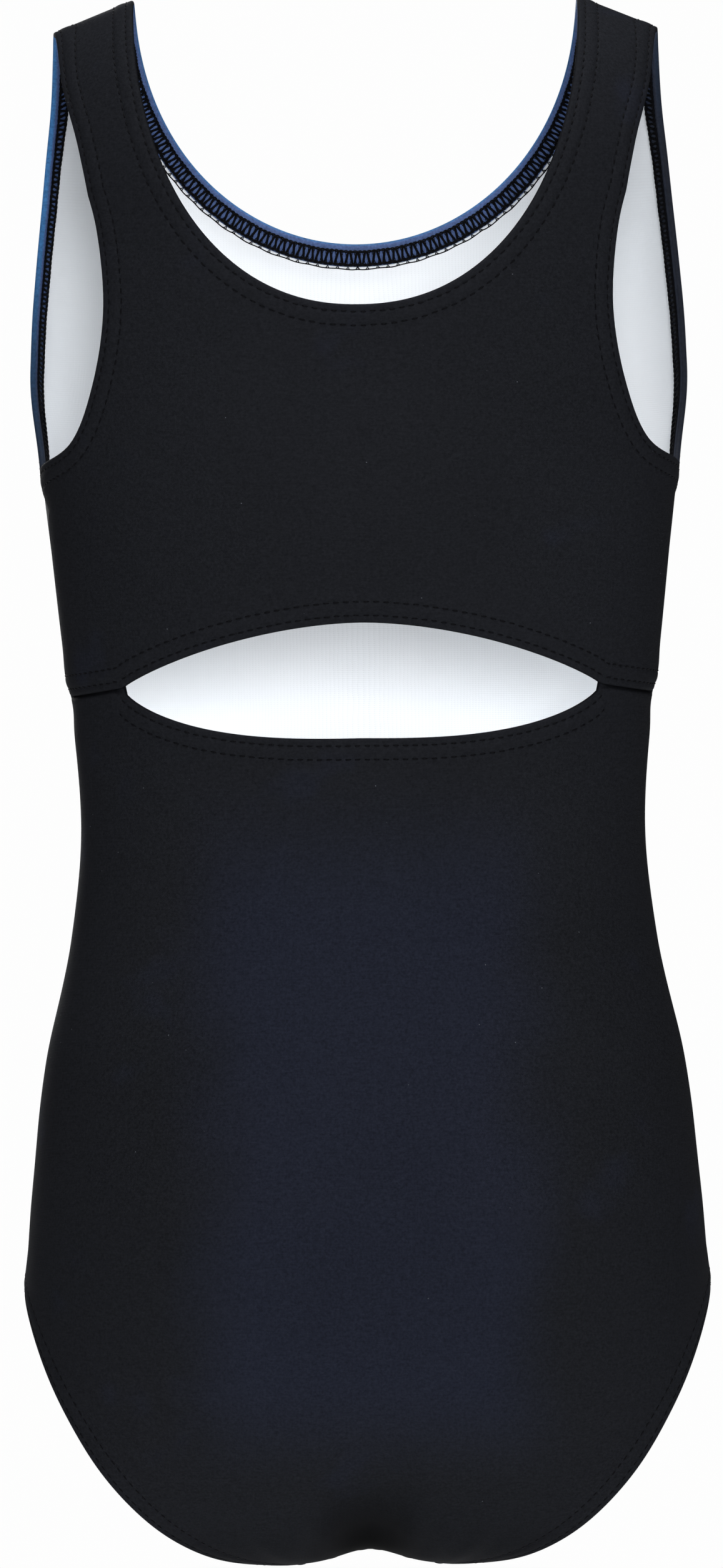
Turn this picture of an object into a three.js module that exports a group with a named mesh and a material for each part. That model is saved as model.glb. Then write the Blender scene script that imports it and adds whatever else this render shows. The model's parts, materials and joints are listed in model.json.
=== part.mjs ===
// A girl's sleeveless gymnastics leotard, worn shape, as its separate sewn pieces.
// Millimetres, +Z up. The wearer faces -Y, so the keyhole back faces +Y and the wearer's left is +X.
// The origin is on the shoulder line, midway between the two straps, where shoulders or a hanger hold it.
import * as THREE from 'three';
import { mergeVertices } from 'three/addons/utils/BufferGeometryUtils.js';

// ---- Driving dimensions: the body that the garment is stretched over ----
const GARMENT_LENGTH = 516;       // shoulder line to the lowest point of the crotch
const HIP_HALF_WIDTH = 113.5;
const HIP_DEPTH = 82;             // from the side seams to the fullest point behind
const SHOULDER_SLOPE = 0.4;       // drop of the shoulder line per mm outwards
const SECTION_POWER = 2.4;        // superellipse power of a level cross-section
const SHOULDER_DEPTH = 0.1279 * GARMENT_LENGTH;   // height over which the straps curve over the shoulder
const SEAT_DEPTH = 0.2248 * GARMENT_LENGTH;       // height over which the seat curves under
const CROTCH_LIFT = 0.0097 * GARMENT_LENGTH;      // height of the crotch centre above the leg edges

// Body stations from the shoulder line down, as shares: height of the garment length, half width of
// the hip half width, then depth behind and depth in front of the hip depth.
const BODY_SHARES = [
  [0, 0.9207, 0.7073, 0.7317], [-0.1085, 0.9427, 0.7561, 0.7805], [-0.2326, 0.9736, 0.7561, 0.8415],
  [-0.3004, 0.9251, 0.7317, 0.8537], [-0.3992, 0.8714, 0.6707, 0.8293], [-0.5194, 0.8159, 0.6341, 0.7805],
  [-0.6008, 0.8476, 0.7317, 0.7805], [-0.6802, 0.9251, 0.878, 0.7927], [-0.7597, 0.9665, 0.9756, 0.7805],
  [-0.8256, 0.9921, 1, 0.7561], [-1, 1, 1, 0.7317],
];
const BODY_STATIONS = BODY_SHARES.map(([height, width, behind, ahead]) => [
  height * GARMENT_LENGTH, width * HIP_HALF_WIDTH, behind * HIP_DEPTH, ahead * HIP_DEPTH,
]);

// ---- Driving dimensions: the pattern's edges, graded with the body ----
const STRAP_INNER_X = 0.6476 * HIP_HALF_WIDTH;    // neck edge of a strap on the shoulder line
const STRAP_OUTER_X = 0.8767 * HIP_HALF_WIDTH;    // armhole edge of a strap on that line
const BACK_NECK_DROP = 0.2016 * GARMENT_LENGTH;
const FRONT_NECK_DROP = 0.1502 * GARMENT_LENGTH;
const BACK_NECK_POWER = 2.2;
const FRONT_NECK_POWER = 2;
const ARMHOLE_DROP = 0.3004 * GARMENT_LENGTH;     // shoulder line to the armhole, on the side seam
const KEYHOLE_HALF_WIDTH = 0.6916 * HIP_HALF_WIDTH;
const KEYHOLE_TIP_DROP = 0.439 * GARMENT_LENGTH;
const KEYHOLE_RISE = 0.0395 * GARMENT_LENGTH;     // tips up to the middle of the upper edge
const KEYHOLE_FALL = 0.0351 * GARMENT_LENGTH;     // tips down to the middle of the lower edge
const KEYHOLE_UPPER_POWERS = { width: 1.8, height: 1.15 };
const KEYHOLE_LOWER_POWERS = { width: 2.8, height: 1.4 };
const WAIST_SEAM_SIDE_DROP = 0.4428 * GARMENT_LENGTH;
const HIP_CORNER_DROP = 0.8256 * GARMENT_LENGTH;  // shoulder line to the leg opening, at the side
const CROTCH_HALF_WIDTH = 0.2379 * HIP_HALF_WIDTH;
const BACK_LEG_POWERS = { fall: 1.2, width: 2.4 };      // full over the seat
const FRONT_LEG_POWERS = { fall: 0.95, width: 1.25 };   // cut higher over the thigh
const GUSSET_FRONT_REACH = 0.1202 * GARMENT_LENGTH;   // crotch lining: its height up the front
const GUSSET_BACK_REACH = 0.0504 * GARMENT_LENGTH;    // crotch lining: its height up the back
const GUSSET_HALF_WIDTH = 0.3348 * HIP_HALF_WIDTH;    // crotch lining: widest half

// Armhole edges between the side seam and the shoulder, as shares: half width, then height.
const BACK_ARMHOLE_SHARES = [
  [0.8282, -0.2839], [0.7621, -0.2481], [0.7295, -0.2054],
  [0.7471, -0.1492], [0.7974, -0.0969], [0.8458, -0.0426],
];
const FRONT_ARMHOLE_SHARES = [
  [0.9357, -0.2829], [0.9568, -0.2364], [0.9445, -0.1841], [0.9163, -0.1163], [0.8943, -0.0543],
];

// ---- Driving dimensions: cloth, elastic, thread and the gaps between layers ----
const CLOTH = 0.6;                // nylon and elastane knit
const LINING = 0.4;               // mesh lining of the front
const ELASTIC = 0.5;              // flat elastic inside each turned hem
const THREAD = 0.3;               // bed of stitching
const LAYER_GAP = 0.5;            // clear space between neighbouring layers
const CELL_SAG = 0.12;            // how far a flat cell dips from its curve towards the next layer
const SEAM_GAP = 0.4;             // clear space where two panels meet at a seam
const HEM_WIDTH = 7;
const HEM_INSET = 1.2;            // elastic, lining and stitching start this far inside a hem's fold
const SEAM_STRIP_WIDTH = 5;
const WAIST_STRIP_REACH = 1.5 * CLOTH + SEAM_GAP;   // waist stitching: its part on the lower panel

// Depths of each layer under the cloth's inner face, which is depth 0. Outwards is positive.
const LINING_TOP = -LAYER_GAP - CELL_SAG;
const LINING_BOTTOM = LINING_TOP - LINING;
const ELASTIC_TOP = LINING_BOTTOM - 1.8 * LAYER_GAP - CELL_SAG;
const ELASTIC_BOTTOM = ELASTIC_TOP - ELASTIC;
const TURN_TOP = ELASTIC_BOTTOM - LAYER_GAP - CELL_SAG;
const TURN_BOTTOM = TURN_TOP - CLOTH;
const STITCH_TOP = TURN_BOTTOM - LAYER_GAP - CELL_SAG;
const STITCH_BOTTOM = STITCH_TOP - THREAD;
const SEAM_STITCH_TOP = LINING_BOTTOM - 2 * LAYER_GAP;
const SEAM_STITCH_BOTTOM = SEAM_STITCH_TOP - THREAD;
const GUSSET_TOP = LINING_BOTTOM - 2 * LAYER_GAP;
const GUSSET_BOTTOM = GUSSET_TOP - LINING;
const CROTCH_STITCH_TOP = GUSSET_BOTTOM - 2 * LAYER_GAP;
const CROTCH_STITCH_BOTTOM = CROTCH_STITCH_TOP - THREAD;
const WAIST_STITCH_BOTTOM = CLOTH + LAYER_GAP;
const WAIST_STITCH_TOP = WAIST_STITCH_BOTTOM + THREAD;

// ---- Mesh resolution ----
const ACROSS = 10;                // cells from the centre line to a side
const NECK_CELLS = 12;            // cells along half a neckline
const ARMHOLE_CELLS = 14;
const BACK_CENTRE_CELLS = 6;      // upper back, along the centre line
const FRONT_SIDE_CELLS = 10;      // front, along the side seam
const SIDE_SEAM_CELLS = 22;
const LOWER_SIDE_CELLS = 8;       // lower back, along the side seam
const LEG_CELLS = 13;
const GUSSET_CELLS = 5;
const KEYHOLE_CELLS = 6;          // of ACROSS, from the centre line to a keyhole tip

const SIDEWAYS_CROWDING = 1.5;    // above 1, a panel's cells are narrower towards the sides
const SHOULDER_CROWDING = 1.3;    // above 1, neck and armhole cells are shorter towards the shoulder

const BACK = 1;
const FRONT = -1;
const QUARTER = Math.PI / 2;
const SMALL_TURN = 0.004;         // radians, for slopes measured on the body
const SMALL_RISE = 0.3;           // millimetres of profile height, for the same

// ---------------------------------------------------------------- body surface

const lerp = (a, b, t) => a + (b - a) * t;

function station(height, column) {
  // Smooth cubic through the body stations (Catmull-Rom with true spacing).
  const rows = BODY_STATIONS;
  const last = rows.length - 1;
  let i = 0;
  while (i < last - 1 && height < rows[i + 1][0]) i += 1;
  const slope = (k) => {
    const lo = Math.max(k - 1, 0);
    const hi = Math.min(k + 1, last);
    return (rows[hi][column] - rows[lo][column]) / (rows[hi][0] - rows[lo][0]);
  };
  const span = rows[i + 1][0] - rows[i][0];
  const t = (height - rows[i][0]) / span;
  const t2 = t * t;
  const t3 = t2 * t;
  return (2 * t3 - 3 * t2 + 1) * rows[i][column] + (t3 - 2 * t2 + t) * span * slope(i)
    + (3 * t2 - 2 * t3) * rows[i + 1][column] + (t3 - t2) * span * slope(i + 1);
}

const halfWidth = (height) => station(height, 1);
const depth = (height, side) => station(height, side === BACK ? 2 : 3);

// A profile height q follows z in the straight middle and turns into an arc at the shoulder and the seat.
const SEAT_START = -(GARMENT_LENGTH - SEAT_DEPTH);

function profile(q) {
  if (q > -SHOULDER_DEPTH) {
    const angle = ((q + SHOULDER_DEPTH) / SHOULDER_DEPTH) * QUARTER;
    return { z: -SHOULDER_DEPTH + SHOULDER_DEPTH * Math.sin(angle), fullness: Math.cos(angle) };
  }
  if (q < SEAT_START) {
    const angle = ((SEAT_START - q) / SEAT_DEPTH) * QUARTER;
    return { z: SEAT_START - SEAT_DEPTH * Math.sin(angle), fullness: Math.cos(angle) };
  }
  return { z: q, fullness: 1 };
}

function profileHeight(z) {
  if (z > -SHOULDER_DEPTH) {
    const ratio = Math.min(1, (z + SHOULDER_DEPTH) / SHOULDER_DEPTH);
    return -SHOULDER_DEPTH + (SHOULDER_DEPTH * Math.asin(ratio)) / QUARTER;
  }
  if (z < SEAT_START) {
    const ratio = Math.min(1, (SEAT_START - z) / SEAT_DEPTH);
    return SEAT_START - (SEAT_DEPTH * Math.asin(ratio)) / QUARTER;
  }
  return z;
}

function smoothStep(value) {
  const t = Math.min(1, Math.max(0, value));
  return t * t * (3 - 2 * t);
}

// Point on the body: angle 0 on the centre line, a quarter turn on the side seam; side is BACK or FRONT.
function bodyPoint(angle, q, side) {
  const { z, fullness } = profile(q);
  const power = 2 / SECTION_POWER;
  const x = halfWidth(z) * Math.pow(Math.abs(Math.sin(angle)), power) * Math.sign(angle);
  const y = side * depth(z, side) * Math.max(fullness, 0) * Math.pow(Math.max(Math.cos(angle), 0), power);
  const nearShoulder = smoothStep((z + SHOULDER_DEPTH) / SHOULDER_DEPTH);
  const nearCrotch = smoothStep((SEAT_START - z) / SEAT_DEPTH);
  const slope = -SHOULDER_SLOPE * Math.max(Math.abs(x) - STRAP_INNER_X, 0) * nearShoulder;
  const lift = CROTCH_LIFT * Math.exp(-Math.pow((2 * x) / CROTCH_HALF_WIDTH, 2)) * nearCrotch;
  return new THREE.Vector3(x, y, z + slope + lift);
}

function bodyNormal(angle, q, side) {
  // Normal from two short chords, kept off the poles where the section's formula has no slope.
  const a = Math.min(Math.abs(angle), QUARTER - 2 * SMALL_TURN) * (angle < 0 ? -1 : 1);
  const level = Math.min(-SMALL_RISE, Math.max(SMALL_RISE - GARMENT_LENGTH, q));
  const alongX = bodyPoint(a + SMALL_TURN, level, side).sub(bodyPoint(a - SMALL_TURN, level, side));
  const alongZ = bodyPoint(a, level + SMALL_RISE, side).sub(bodyPoint(a, level - SMALL_RISE, side));
  const normal = alongX.cross(alongZ).normalize();
  if (side === BACK) normal.negate();
  // A point on the join of front and back faces straight along the join's own plane.
  const onSide = Math.abs(Math.abs(angle) - QUARTER) < 2 * SMALL_TURN;
  if (onSide || level !== q) normal.setY(0).normalize();
  return normal;
}

// Pattern points are { a, q }: body angle and profile height. A pattern edge is a list of them.
function patternPoint(x, z) {
  const ratio = Math.min(1, Math.abs(x) / halfWidth(z));
  return { a: Math.asin(Math.pow(ratio, SECTION_POWER / 2)) * Math.sign(x), q: profileHeight(z) };
}

// ---------------------------------------------------------------- pattern edges (wearer's left half)

function resample(points, cells, side, crowding) {
  // Spacing along the edge as it lies on the body: even at 1, closer towards its end above 1.
  const fine = points.map((p) => bodyPoint(p.a, p.q, side));
  const run = [0];
  for (let i = 1; i < fine.length; i += 1) run.push(run[i - 1] + fine[i].distanceTo(fine[i - 1]));
  const total = run[run.length - 1];
  const out = [];
  let i = 1;
  for (let k = 0; k <= cells; k += 1) {
    const target = total * (1 - Math.pow(1 - k / cells, crowding));
    while (i < run.length - 1 && run[i] < target) i += 1;
    const t = (target - run[i - 1]) / Math.max(run[i] - run[i - 1], 1e-9);
    out.push({ a: lerp(points[i - 1].a, points[i].a, t), q: lerp(points[i - 1].q, points[i].q, t) });
  }
  return out;
}

const FINE = 160;                 // points on an edge before it is divided into cells
const TURN_LENGTH = 100;          // millimetres for one radian of body angle, when an edge is curved

function sampled(formula, cells, side, crowding = 1) {
  const fine = [];
  for (let i = 0; i <= FINE; i += 1) fine.push(formula(i / FINE));
  return resample(fine, cells, side, crowding);
}

function neckEdge(side, cells) {
  const drop = side === BACK ? BACK_NECK_DROP : FRONT_NECK_DROP;
  const power = 2 / (side === BACK ? BACK_NECK_POWER : FRONT_NECK_POWER);
  return sampled((t) => {
    const turn = t * QUARTER;
    return patternPoint(
      STRAP_INNER_X * Math.pow(Math.sin(turn), power),
      -drop * Math.pow(Math.max(Math.cos(turn), 0), power),
    );
  }, cells, side, SHOULDER_CROWDING);
}

function armholeEdge(side, cells) {
  // From the side seam up to the shoulder line.
  const middle = side === BACK ? BACK_ARMHOLE_SHARES : FRONT_ARMHOLE_SHARES;
  const bottom = { a: QUARTER, q: -ARMHOLE_DROP };
  const top = patternPoint(STRAP_OUTER_X, 0);
  const between = middle.map(([x, z]) => patternPoint(x * HIP_HALF_WIDTH, z * GARMENT_LENGTH));
  const points = [bottom, ...between, top];
  const curve = new THREE.CatmullRomCurve3(
    points.map((p) => new THREE.Vector3(p.a * TURN_LENGTH, p.q, 0)), false, 'centripetal',
  );
  return sampled((t) => {
    const v = curve.getPoint(t);
    return { a: v.x / TURN_LENGTH, q: v.y };
  }, cells, side, SHOULDER_CROWDING);
}

function legEdge(side, cells) {
  // From the crotch seam up to the hip corner on the side seam.
  const fall = GARMENT_LENGTH - HIP_CORNER_DROP;
  const hip = halfWidth(-HIP_CORNER_DROP);
  const powers = side === BACK ? BACK_LEG_POWERS : FRONT_LEG_POWERS;
  return sampled((t) => {
    const down = Math.cos(t * QUARTER);
    const share = Math.pow(Math.max(1 - Math.pow(down, powers.fall), 0), 1 / powers.width);
    return patternPoint(lerp(CROTCH_HALF_WIDTH, hip, share), -HIP_CORNER_DROP - fall * down);
  }, cells, side);
}

function sideEdge(fromDrop, toDrop, cells) {
  return sampled((t) => ({ a: QUARTER, q: profileHeight(-lerp(fromDrop, toDrop, t)) }), cells, BACK);
}

function centreEdge(fromQ, toQ, cells, side) {
  return sampled((t) => ({ a: 0, q: lerp(fromQ, toQ, t) }), cells, side);
}

function levelEdge(x0, x1, z, cells, side) {
  return sampled((t) => patternPoint(lerp(x0, x1, t), z), cells, side);
}

function keyholeArc(x, upper) {
  const share = Math.min(1, x / KEYHOLE_HALF_WIDTH);
  const powers = upper ? KEYHOLE_UPPER_POWERS : KEYHOLE_LOWER_POWERS;
  const height = upper ? KEYHOLE_RISE : -KEYHOLE_FALL;
  return height * Math.pow(1 - Math.pow(share, powers.width), 1 / powers.height) - KEYHOLE_TIP_DROP;
}

function waistEdge(upper) {
  // Centre line to the side: the keyhole's edge as far as its tip, then the waist seam.
  const shift = upper ? 0 : -2 * CLOTH - SEAM_GAP;
  const arc = sampled((t) => {
    const x = KEYHOLE_HALF_WIDTH * Math.sin(t * QUARTER);
    return patternPoint(x, keyholeArc(x, upper) + shift * t);
  }, KEYHOLE_CELLS, BACK);
  const tip = patternPoint(KEYHOLE_HALF_WIDTH, -KEYHOLE_TIP_DROP + shift);
  const seam = sampled((t) => ({
    a: lerp(tip.a, QUARTER, t), q: lerp(tip.q, -WAIST_SEAM_SIDE_DROP + shift, t),
  }), ACROSS - KEYHOLE_CELLS, BACK);
  return [...arc, ...seam.slice(1)];
}

// ---------------------------------------------------------------- places and sections

// Where a pattern point lies on the body, held back from a side, shoulder or crotch seam by half a gap.
function placeOn(p, side, gap = SEAM_GAP) {
  const point = bodyPoint(p.a, p.q, side);
  if (Math.abs(point.y) < gap / 2) point.y = (side * gap) / 2;
  return { point, normal: bodyNormal(p.a, p.q, side) };
}

const lifted = (place, height) => place.point.clone().addScaledVector(place.normal, height);

// How a pattern point moves for one millimetre in a direction that lies on the body.
function patternStep(p, side, direction) {
  const a = Math.min(p.a, QUARTER - 2 * SMALL_TURN);
  const q = Math.min(-SMALL_RISE, Math.max(SMALL_RISE - GARMENT_LENGTH, p.q));
  const perA = bodyPoint(a + SMALL_TURN, q, side).sub(bodyPoint(a - SMALL_TURN, q, side));
  const perQ = bodyPoint(a, q + SMALL_RISE, side).sub(bodyPoint(a, q - SMALL_RISE, side));
  perA.divideScalar(2 * SMALL_TURN);
  perQ.divideScalar(2 * SMALL_RISE);
  const [aa, aq, qq] = [perA.dot(perA), perA.dot(perQ), perQ.dot(perQ)];
  const [da, dq] = [direction.dot(perA), direction.dot(perQ)];
  const det = aa * qq - aq * aq;
  return { a: (da * qq - dq * aq) / det, q: (dq * aa - da * aq) / det };
}

// A section of an edge gives the place on the body at any width in from the edge.
// Its end sections stay in the plane that the edge finishes on: 'centre', 'side' or 'top'
// (the shoulder or crotch line).
function sectionsAlong(edge, side, into, startsOn, endsOn, gap = SEAM_GAP) {
  const places = edge.map((p) => placeOn(p, side, gap));
  const end = edge.length - 1;
  return edge.map((p, i) => {
    const { point, normal } = places[i];
    const along = places[Math.min(i + 1, end)].point.clone().sub(places[Math.max(i - 1, 0)].point);
    const inward = normal.clone().cross(along).normalize();
    if (inward.dot(bodyPoint(into.a, into.q, side).sub(point)) < 0) inward.negate();
    const step = patternStep(p, side, inward);
    const plane = { 0: startsOn, [end]: endsOn }[i];
    if (plane === 'centre' || plane === 'side') step.a = 0;
    if (plane === 'top') step.q = 0;
    const reach = plane ? stepLength(p, step, side) : 1;
    return {
      at: (width) => placeOn({
        a: Math.min(QUARTER, p.a + (step.a * width) / reach),
        q: Math.min(0, p.q + (step.q * width) / reach),
      }, side, gap),
    };
  });
}

function stepLength(p, step, side) {
  const far = bodyPoint(p.a + step.a * HEM_WIDTH, p.q + step.q * HEM_WIDTH, side);
  return far.distanceTo(bodyPoint(p.a, p.q, side)) / HEM_WIDTH;
}

const flatSection = (point, normal, across) => ({
  at: (width) => ({ point: point.clone().addScaledVector(across, width), normal }),
});

const offset = (section, width, height) => lifted(section.at(width), height);
const flipX = (v) => new THREE.Vector3(-v.x, v.y, v.z);
const mirrorSection = (section) => ({
  at: (width) => {
    const { point, normal } = section.at(width);
    return { point: flipX(point), normal: flipX(normal) };
  },
});

// Outline of a flat band, with a middle line so that it can follow the body's curve.
function band(from, to, top, bottom) {
  const half = (from + to) / 2;
  return [[from, top], [half, top], [to, top], [to, bottom], [half, bottom], [from, bottom]];
}

// ---------------------------------------------------------------- closed meshes

class Shell {
  // Collects triangles by their corners; corners at one place become one vertex at the end.
  constructor() {
    this.corners = [];
  }

  quad(a, b, c, d) {
    this.corners.push(a, b, c, a, c, d);
  }

  polygon(ring, triangles) {
    triangles.forEach((triangle) => this.corners.push(...triangle.map((k) => ring[k])));
  }

  strip(near, far) {
    for (let k = 0; k + 1 < near.length; k += 1) this.quad(near[k], near[k + 1], far[k + 1], far[k]);
  }

  addMirrored() {
    this.corners.push(...this.corners.map(flipX));
    return this;
  }

  geometry() {
    const merged = mergeVertices(new THREE.BufferGeometry().setFromPoints(this.corners), 1e-4);
    const raw = merged.getIndex().array;
    const faces = [];
    for (let i = 0; i < raw.length; i += 3) {
      const face = [raw[i], raw[i + 1], raw[i + 2]];
      if (new Set(face).size === 3) faces.push(face);
    }
    turnFacesAlike(faces);
    const place = merged.getAttribute('position');
    const corner = (k) => new THREE.Vector3().fromBufferAttribute(place, k);
    const volume = faces.reduce((sum, [a, b, c]) => sum + corner(a).dot(corner(b).cross(corner(c))), 0);
    merged.setIndex((volume < 0 ? faces.map(([a, b, c]) => [b, a, c]) : faces).flat());
    merged.computeVertexNormals();
    return merged;
  }
}

function turnFacesAlike(faces) {
  // Two faces that share an edge must run along it in opposite directions.
  const owners = new Map();
  faces.forEach((face, f) => face.forEach((a, k) => {
    const b = face[(k + 1) % 3];
    const key = a < b ? `${a}_${b}` : `${b}_${a}`;
    owners.set(key, [...(owners.get(key) ?? []), f]);
  }));
  const seen = new Set([0]);
  const queue = [0];
  while (queue.length) {
    const f = queue.pop();
    faces[f].forEach((a, k) => {
      const b = faces[f][(k + 1) % 3];
      const key = a < b ? `${a}_${b}` : `${b}_${a}`;
      owners.get(key).filter((g) => !seen.has(g)).forEach((g) => {
        const place = faces[g].indexOf(a);
        if (faces[g][(place + 1) % 3] === b) faces[g].reverse();
        seen.add(g);
        queue.push(g);
      });
    });
  }
}

const outlineCaps = (outline) => THREE.ShapeUtils.triangulateShape(
  outline.map(([w, h]) => new THREE.Vector2(w, h)), [],
);

// A solid whose outline of [width, height] pairs is carried through sections, open-ended or as a loop.
function sweptSolid(sections, outline, loop) {
  const shell = new Shell();
  const rings = sections.map((s) => outline.map(([w, h]) => offset(s, w, h)));
  const closed = (ring) => [...ring, ring[0]];
  rings.slice(1).forEach((ring, i) => shell.strip(closed(rings[i]), closed(ring)));
  if (loop) {
    shell.strip(closed(rings[rings.length - 1]), closed(rings[0]));
  } else {
    shell.polygon(rings[0], outlineCaps(outline));
    shell.polygon(rings[rings.length - 1], outlineCaps(outline));
  }
  return shell.geometry();
}

// ---------------------------------------------------------------- panels of cloth

// Coons patch between four pattern edges; rows run from bottom to top, columns from centre to side.
function patch({ inner, outer, bottom, top }) {
  const rows = inner.length - 1;
  const columns = bottom.length - 1;
  return inner.map((_, j) => bottom.map((__, i) => {
    const s = 1 - Math.pow(1 - i / columns, SIDEWAYS_CROWDING);
    const t = j / rows;
    const blend = (key) => lerp(inner[j][key], outer[j][key], s) + lerp(bottom[i][key], top[i][key], t)
      - lerp(
        lerp(bottom[0][key], bottom[columns][key], s),
        lerp(top[0][key], top[columns][key], s),
        t,
      );
    return { a: blend('a'), q: blend('q') };
  }));
}

// Grid positions along one side of a panel, as [row, column] pairs.
const upColumn = (i, from, to) => Array.from({ length: to - from + 1 }, (_, k) => [from + k, i]);
const alongRow = (j, from, to) => Array.from({ length: to - from + 1 }, (_, k) => [j, from + k]);

// Half a panel between two depths: both faces, plain rims, and turned hems where a rim is folded.
function clothSolid({ places, top, bottom, rims, folds = [] }) {
  const shell = new Shell();
  const outside = places.map((row) => row.map((p) => lifted(p, top)));
  const inside = places.map((row) => row.map((p) => lifted(p, bottom)));
  [outside, inside].forEach((layer) => {
    layer.slice(1).forEach((row, j) => shell.strip(layer[j], row));
  });
  rims.forEach((rim) => {
    shell.strip(rim.map(([j, i]) => outside[j][i]), rim.map(([j, i]) => inside[j][i]));
  });
  folds.forEach(({ rim, sections, capStart, capEnd }) => {
    const rings = sections.map((section, k) => {
      const [j, i] = rim[k];
      return [outside[j][i], ...HEM_TURN.map(([w, h]) => offset(section, w, h)), inside[j][i]];
    });
    rings.slice(1).forEach((ring, k) => shell.strip(rings[k], ring));
    const caps = outlineCaps([[0, CLOTH], ...HEM_TURN, [0, 0]]);
    if (capStart) shell.polygon(rings[0], caps);
    if (capEnd) shell.polygon(rings[rings.length - 1], caps);
  });
  return shell.addMirrored().geometry();
}

// The cloth's path round a hem's fold, seen in section: over the edge, under the elastic and back.
const HEM_TURN = [
  [-CLOTH, 0], [-CLOTH, TURN_TOP], [0, TURN_BOTTOM],
  [HEM_WIDTH / 2, TURN_BOTTOM], [HEM_WIDTH, TURN_BOTTOM], [HEM_WIDTH, TURN_TOP], [HEM_WIDTH / 2, TURN_TOP],
  [CLOTH / 2, TURN_TOP], [0, LINING_BOTTOM],
];

// ---------------------------------------------------------------- pattern of the wearer's left half

const edges = {
  backNeck: neckEdge(BACK, NECK_CELLS),
  frontNeck: neckEdge(FRONT, NECK_CELLS),
  backArmhole: armholeEdge(BACK, ARMHOLE_CELLS),
  frontArmhole: armholeEdge(FRONT, ARMHOLE_CELLS),
  backLeg: legEdge(BACK, LEG_CELLS),
  frontLeg: legEdge(FRONT, LEG_CELLS),
  keyholeUpper: waistEdge(true),
  keyholeLower: waistEdge(false),
};

// Pattern points inside the panels, which tell which way is in from an edge.
const BELOW_NECK = { a: 0.9, q: -210 };
const BACK_MIDDLE = { a: 0, q: -180 };
const HIPS = { a: 0.4, q: -330 };
const hemSections = (gap) => ({
  backNeck: sectionsAlong(edges.backNeck, BACK, BELOW_NECK, 'centre', 'top', gap),
  frontNeck: sectionsAlong(edges.frontNeck, FRONT, BELOW_NECK, 'centre', 'top', gap),
  backArmhole: sectionsAlong(edges.backArmhole, BACK, BACK_MIDDLE, 'side', 'top', gap),
  frontArmhole: sectionsAlong(edges.frontArmhole, FRONT, BACK_MIDDLE, 'side', 'top', gap),
  backLeg: sectionsAlong(edges.backLeg, BACK, HIPS, 'top', 'side', gap),
  frontLeg: sectionsAlong(edges.frontLeg, FRONT, HIPS, 'top', 'side', gap),
  keyholeUpper: sectionsAlong(edges.keyholeUpper, BACK, BACK_MIDDLE, 'centre', 'side', gap),
  keyholeLower: sectionsAlong(edges.keyholeLower, BACK, HIPS, 'centre', 'side', gap),
});
const hems = hemSections(SEAM_GAP);
const ringHems = hemSections(0);

const shoulder = levelEdge(STRAP_INNER_X, STRAP_OUTER_X, 0, ACROSS, BACK);
const join = (first, ...rest) => [...first, ...rest.flatMap((edge) => edge.slice(1))];

// ---------------------------------------------------------------- the three outer panels

const upperRows = NECK_CELLS + BACK_CENTRE_CELLS;
const backUpperGrid = patch({
  inner: join(
    centreEdge(edges.keyholeUpper[0].q, edges.backNeck[0].q, BACK_CENTRE_CELLS, BACK),
    edges.backNeck,
  ),
  outer: join(sideEdge(WAIST_SEAM_SIDE_DROP, ARMHOLE_DROP, upperRows - ARMHOLE_CELLS), edges.backArmhole),
  bottom: edges.keyholeUpper,
  top: shoulder,
});

function backUpper() {
  const places = backUpperGrid.map((row) => row.map((p) => placeOn(p, BACK)));
  const armholeStart = upperRows - ARMHOLE_CELLS;
  return clothSolid({
    places,
    top: CLOTH,
    bottom: 0,
    rims: [upColumn(ACROSS, 0, armholeStart), alongRow(upperRows, 0, ACROSS)],
    folds: [
      { rim: alongRow(0, 0, ACROSS), sections: hems.keyholeUpper, capEnd: true },
      {
        rim: upColumn(ACROSS, armholeStart, upperRows),
        sections: hems.backArmhole,
        capStart: true,
        capEnd: true,
      },
      { rim: upColumn(0, BACK_CENTRE_CELLS, upperRows), sections: hems.backNeck, capEnd: true },
    ],
  });
}

const lowerRows = LEG_CELLS + LOWER_SIDE_CELLS;
const lowerSideDrop = -edges.keyholeLower[ACROSS].q;
const backLowerGrid = patch({
  inner: join(
    centreEdge(-GARMENT_LENGTH, SEAT_START, LEG_CELLS, BACK),
    centreEdge(SEAT_START, edges.keyholeLower[0].q, LOWER_SIDE_CELLS, BACK),
  ),
  outer: join(edges.backLeg, sideEdge(HIP_CORNER_DROP, lowerSideDrop, LOWER_SIDE_CELLS)),
  bottom: levelEdge(0, CROTCH_HALF_WIDTH, -GARMENT_LENGTH, ACROSS, BACK),
  top: edges.keyholeLower,
});

function backLower() {
  const places = backLowerGrid.map((row) => row.map((p) => placeOn(p, BACK)));
  return clothSolid({
    places,
    top: CLOTH,
    bottom: 0,
    rims: [
      alongRow(0, 0, ACROSS),
      upColumn(ACROSS, LEG_CELLS, lowerRows),
      alongRow(lowerRows, KEYHOLE_CELLS, ACROSS),
    ],
    folds: [
      { rim: upColumn(ACROSS, 0, LEG_CELLS), sections: hems.backLeg, capStart: true, capEnd: true },
      {
        rim: alongRow(lowerRows, 0, KEYHOLE_CELLS),
        sections: hems.keyholeLower.slice(0, KEYHOLE_CELLS + 1),
        capEnd: true,
      },
    ],
  });
}

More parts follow.
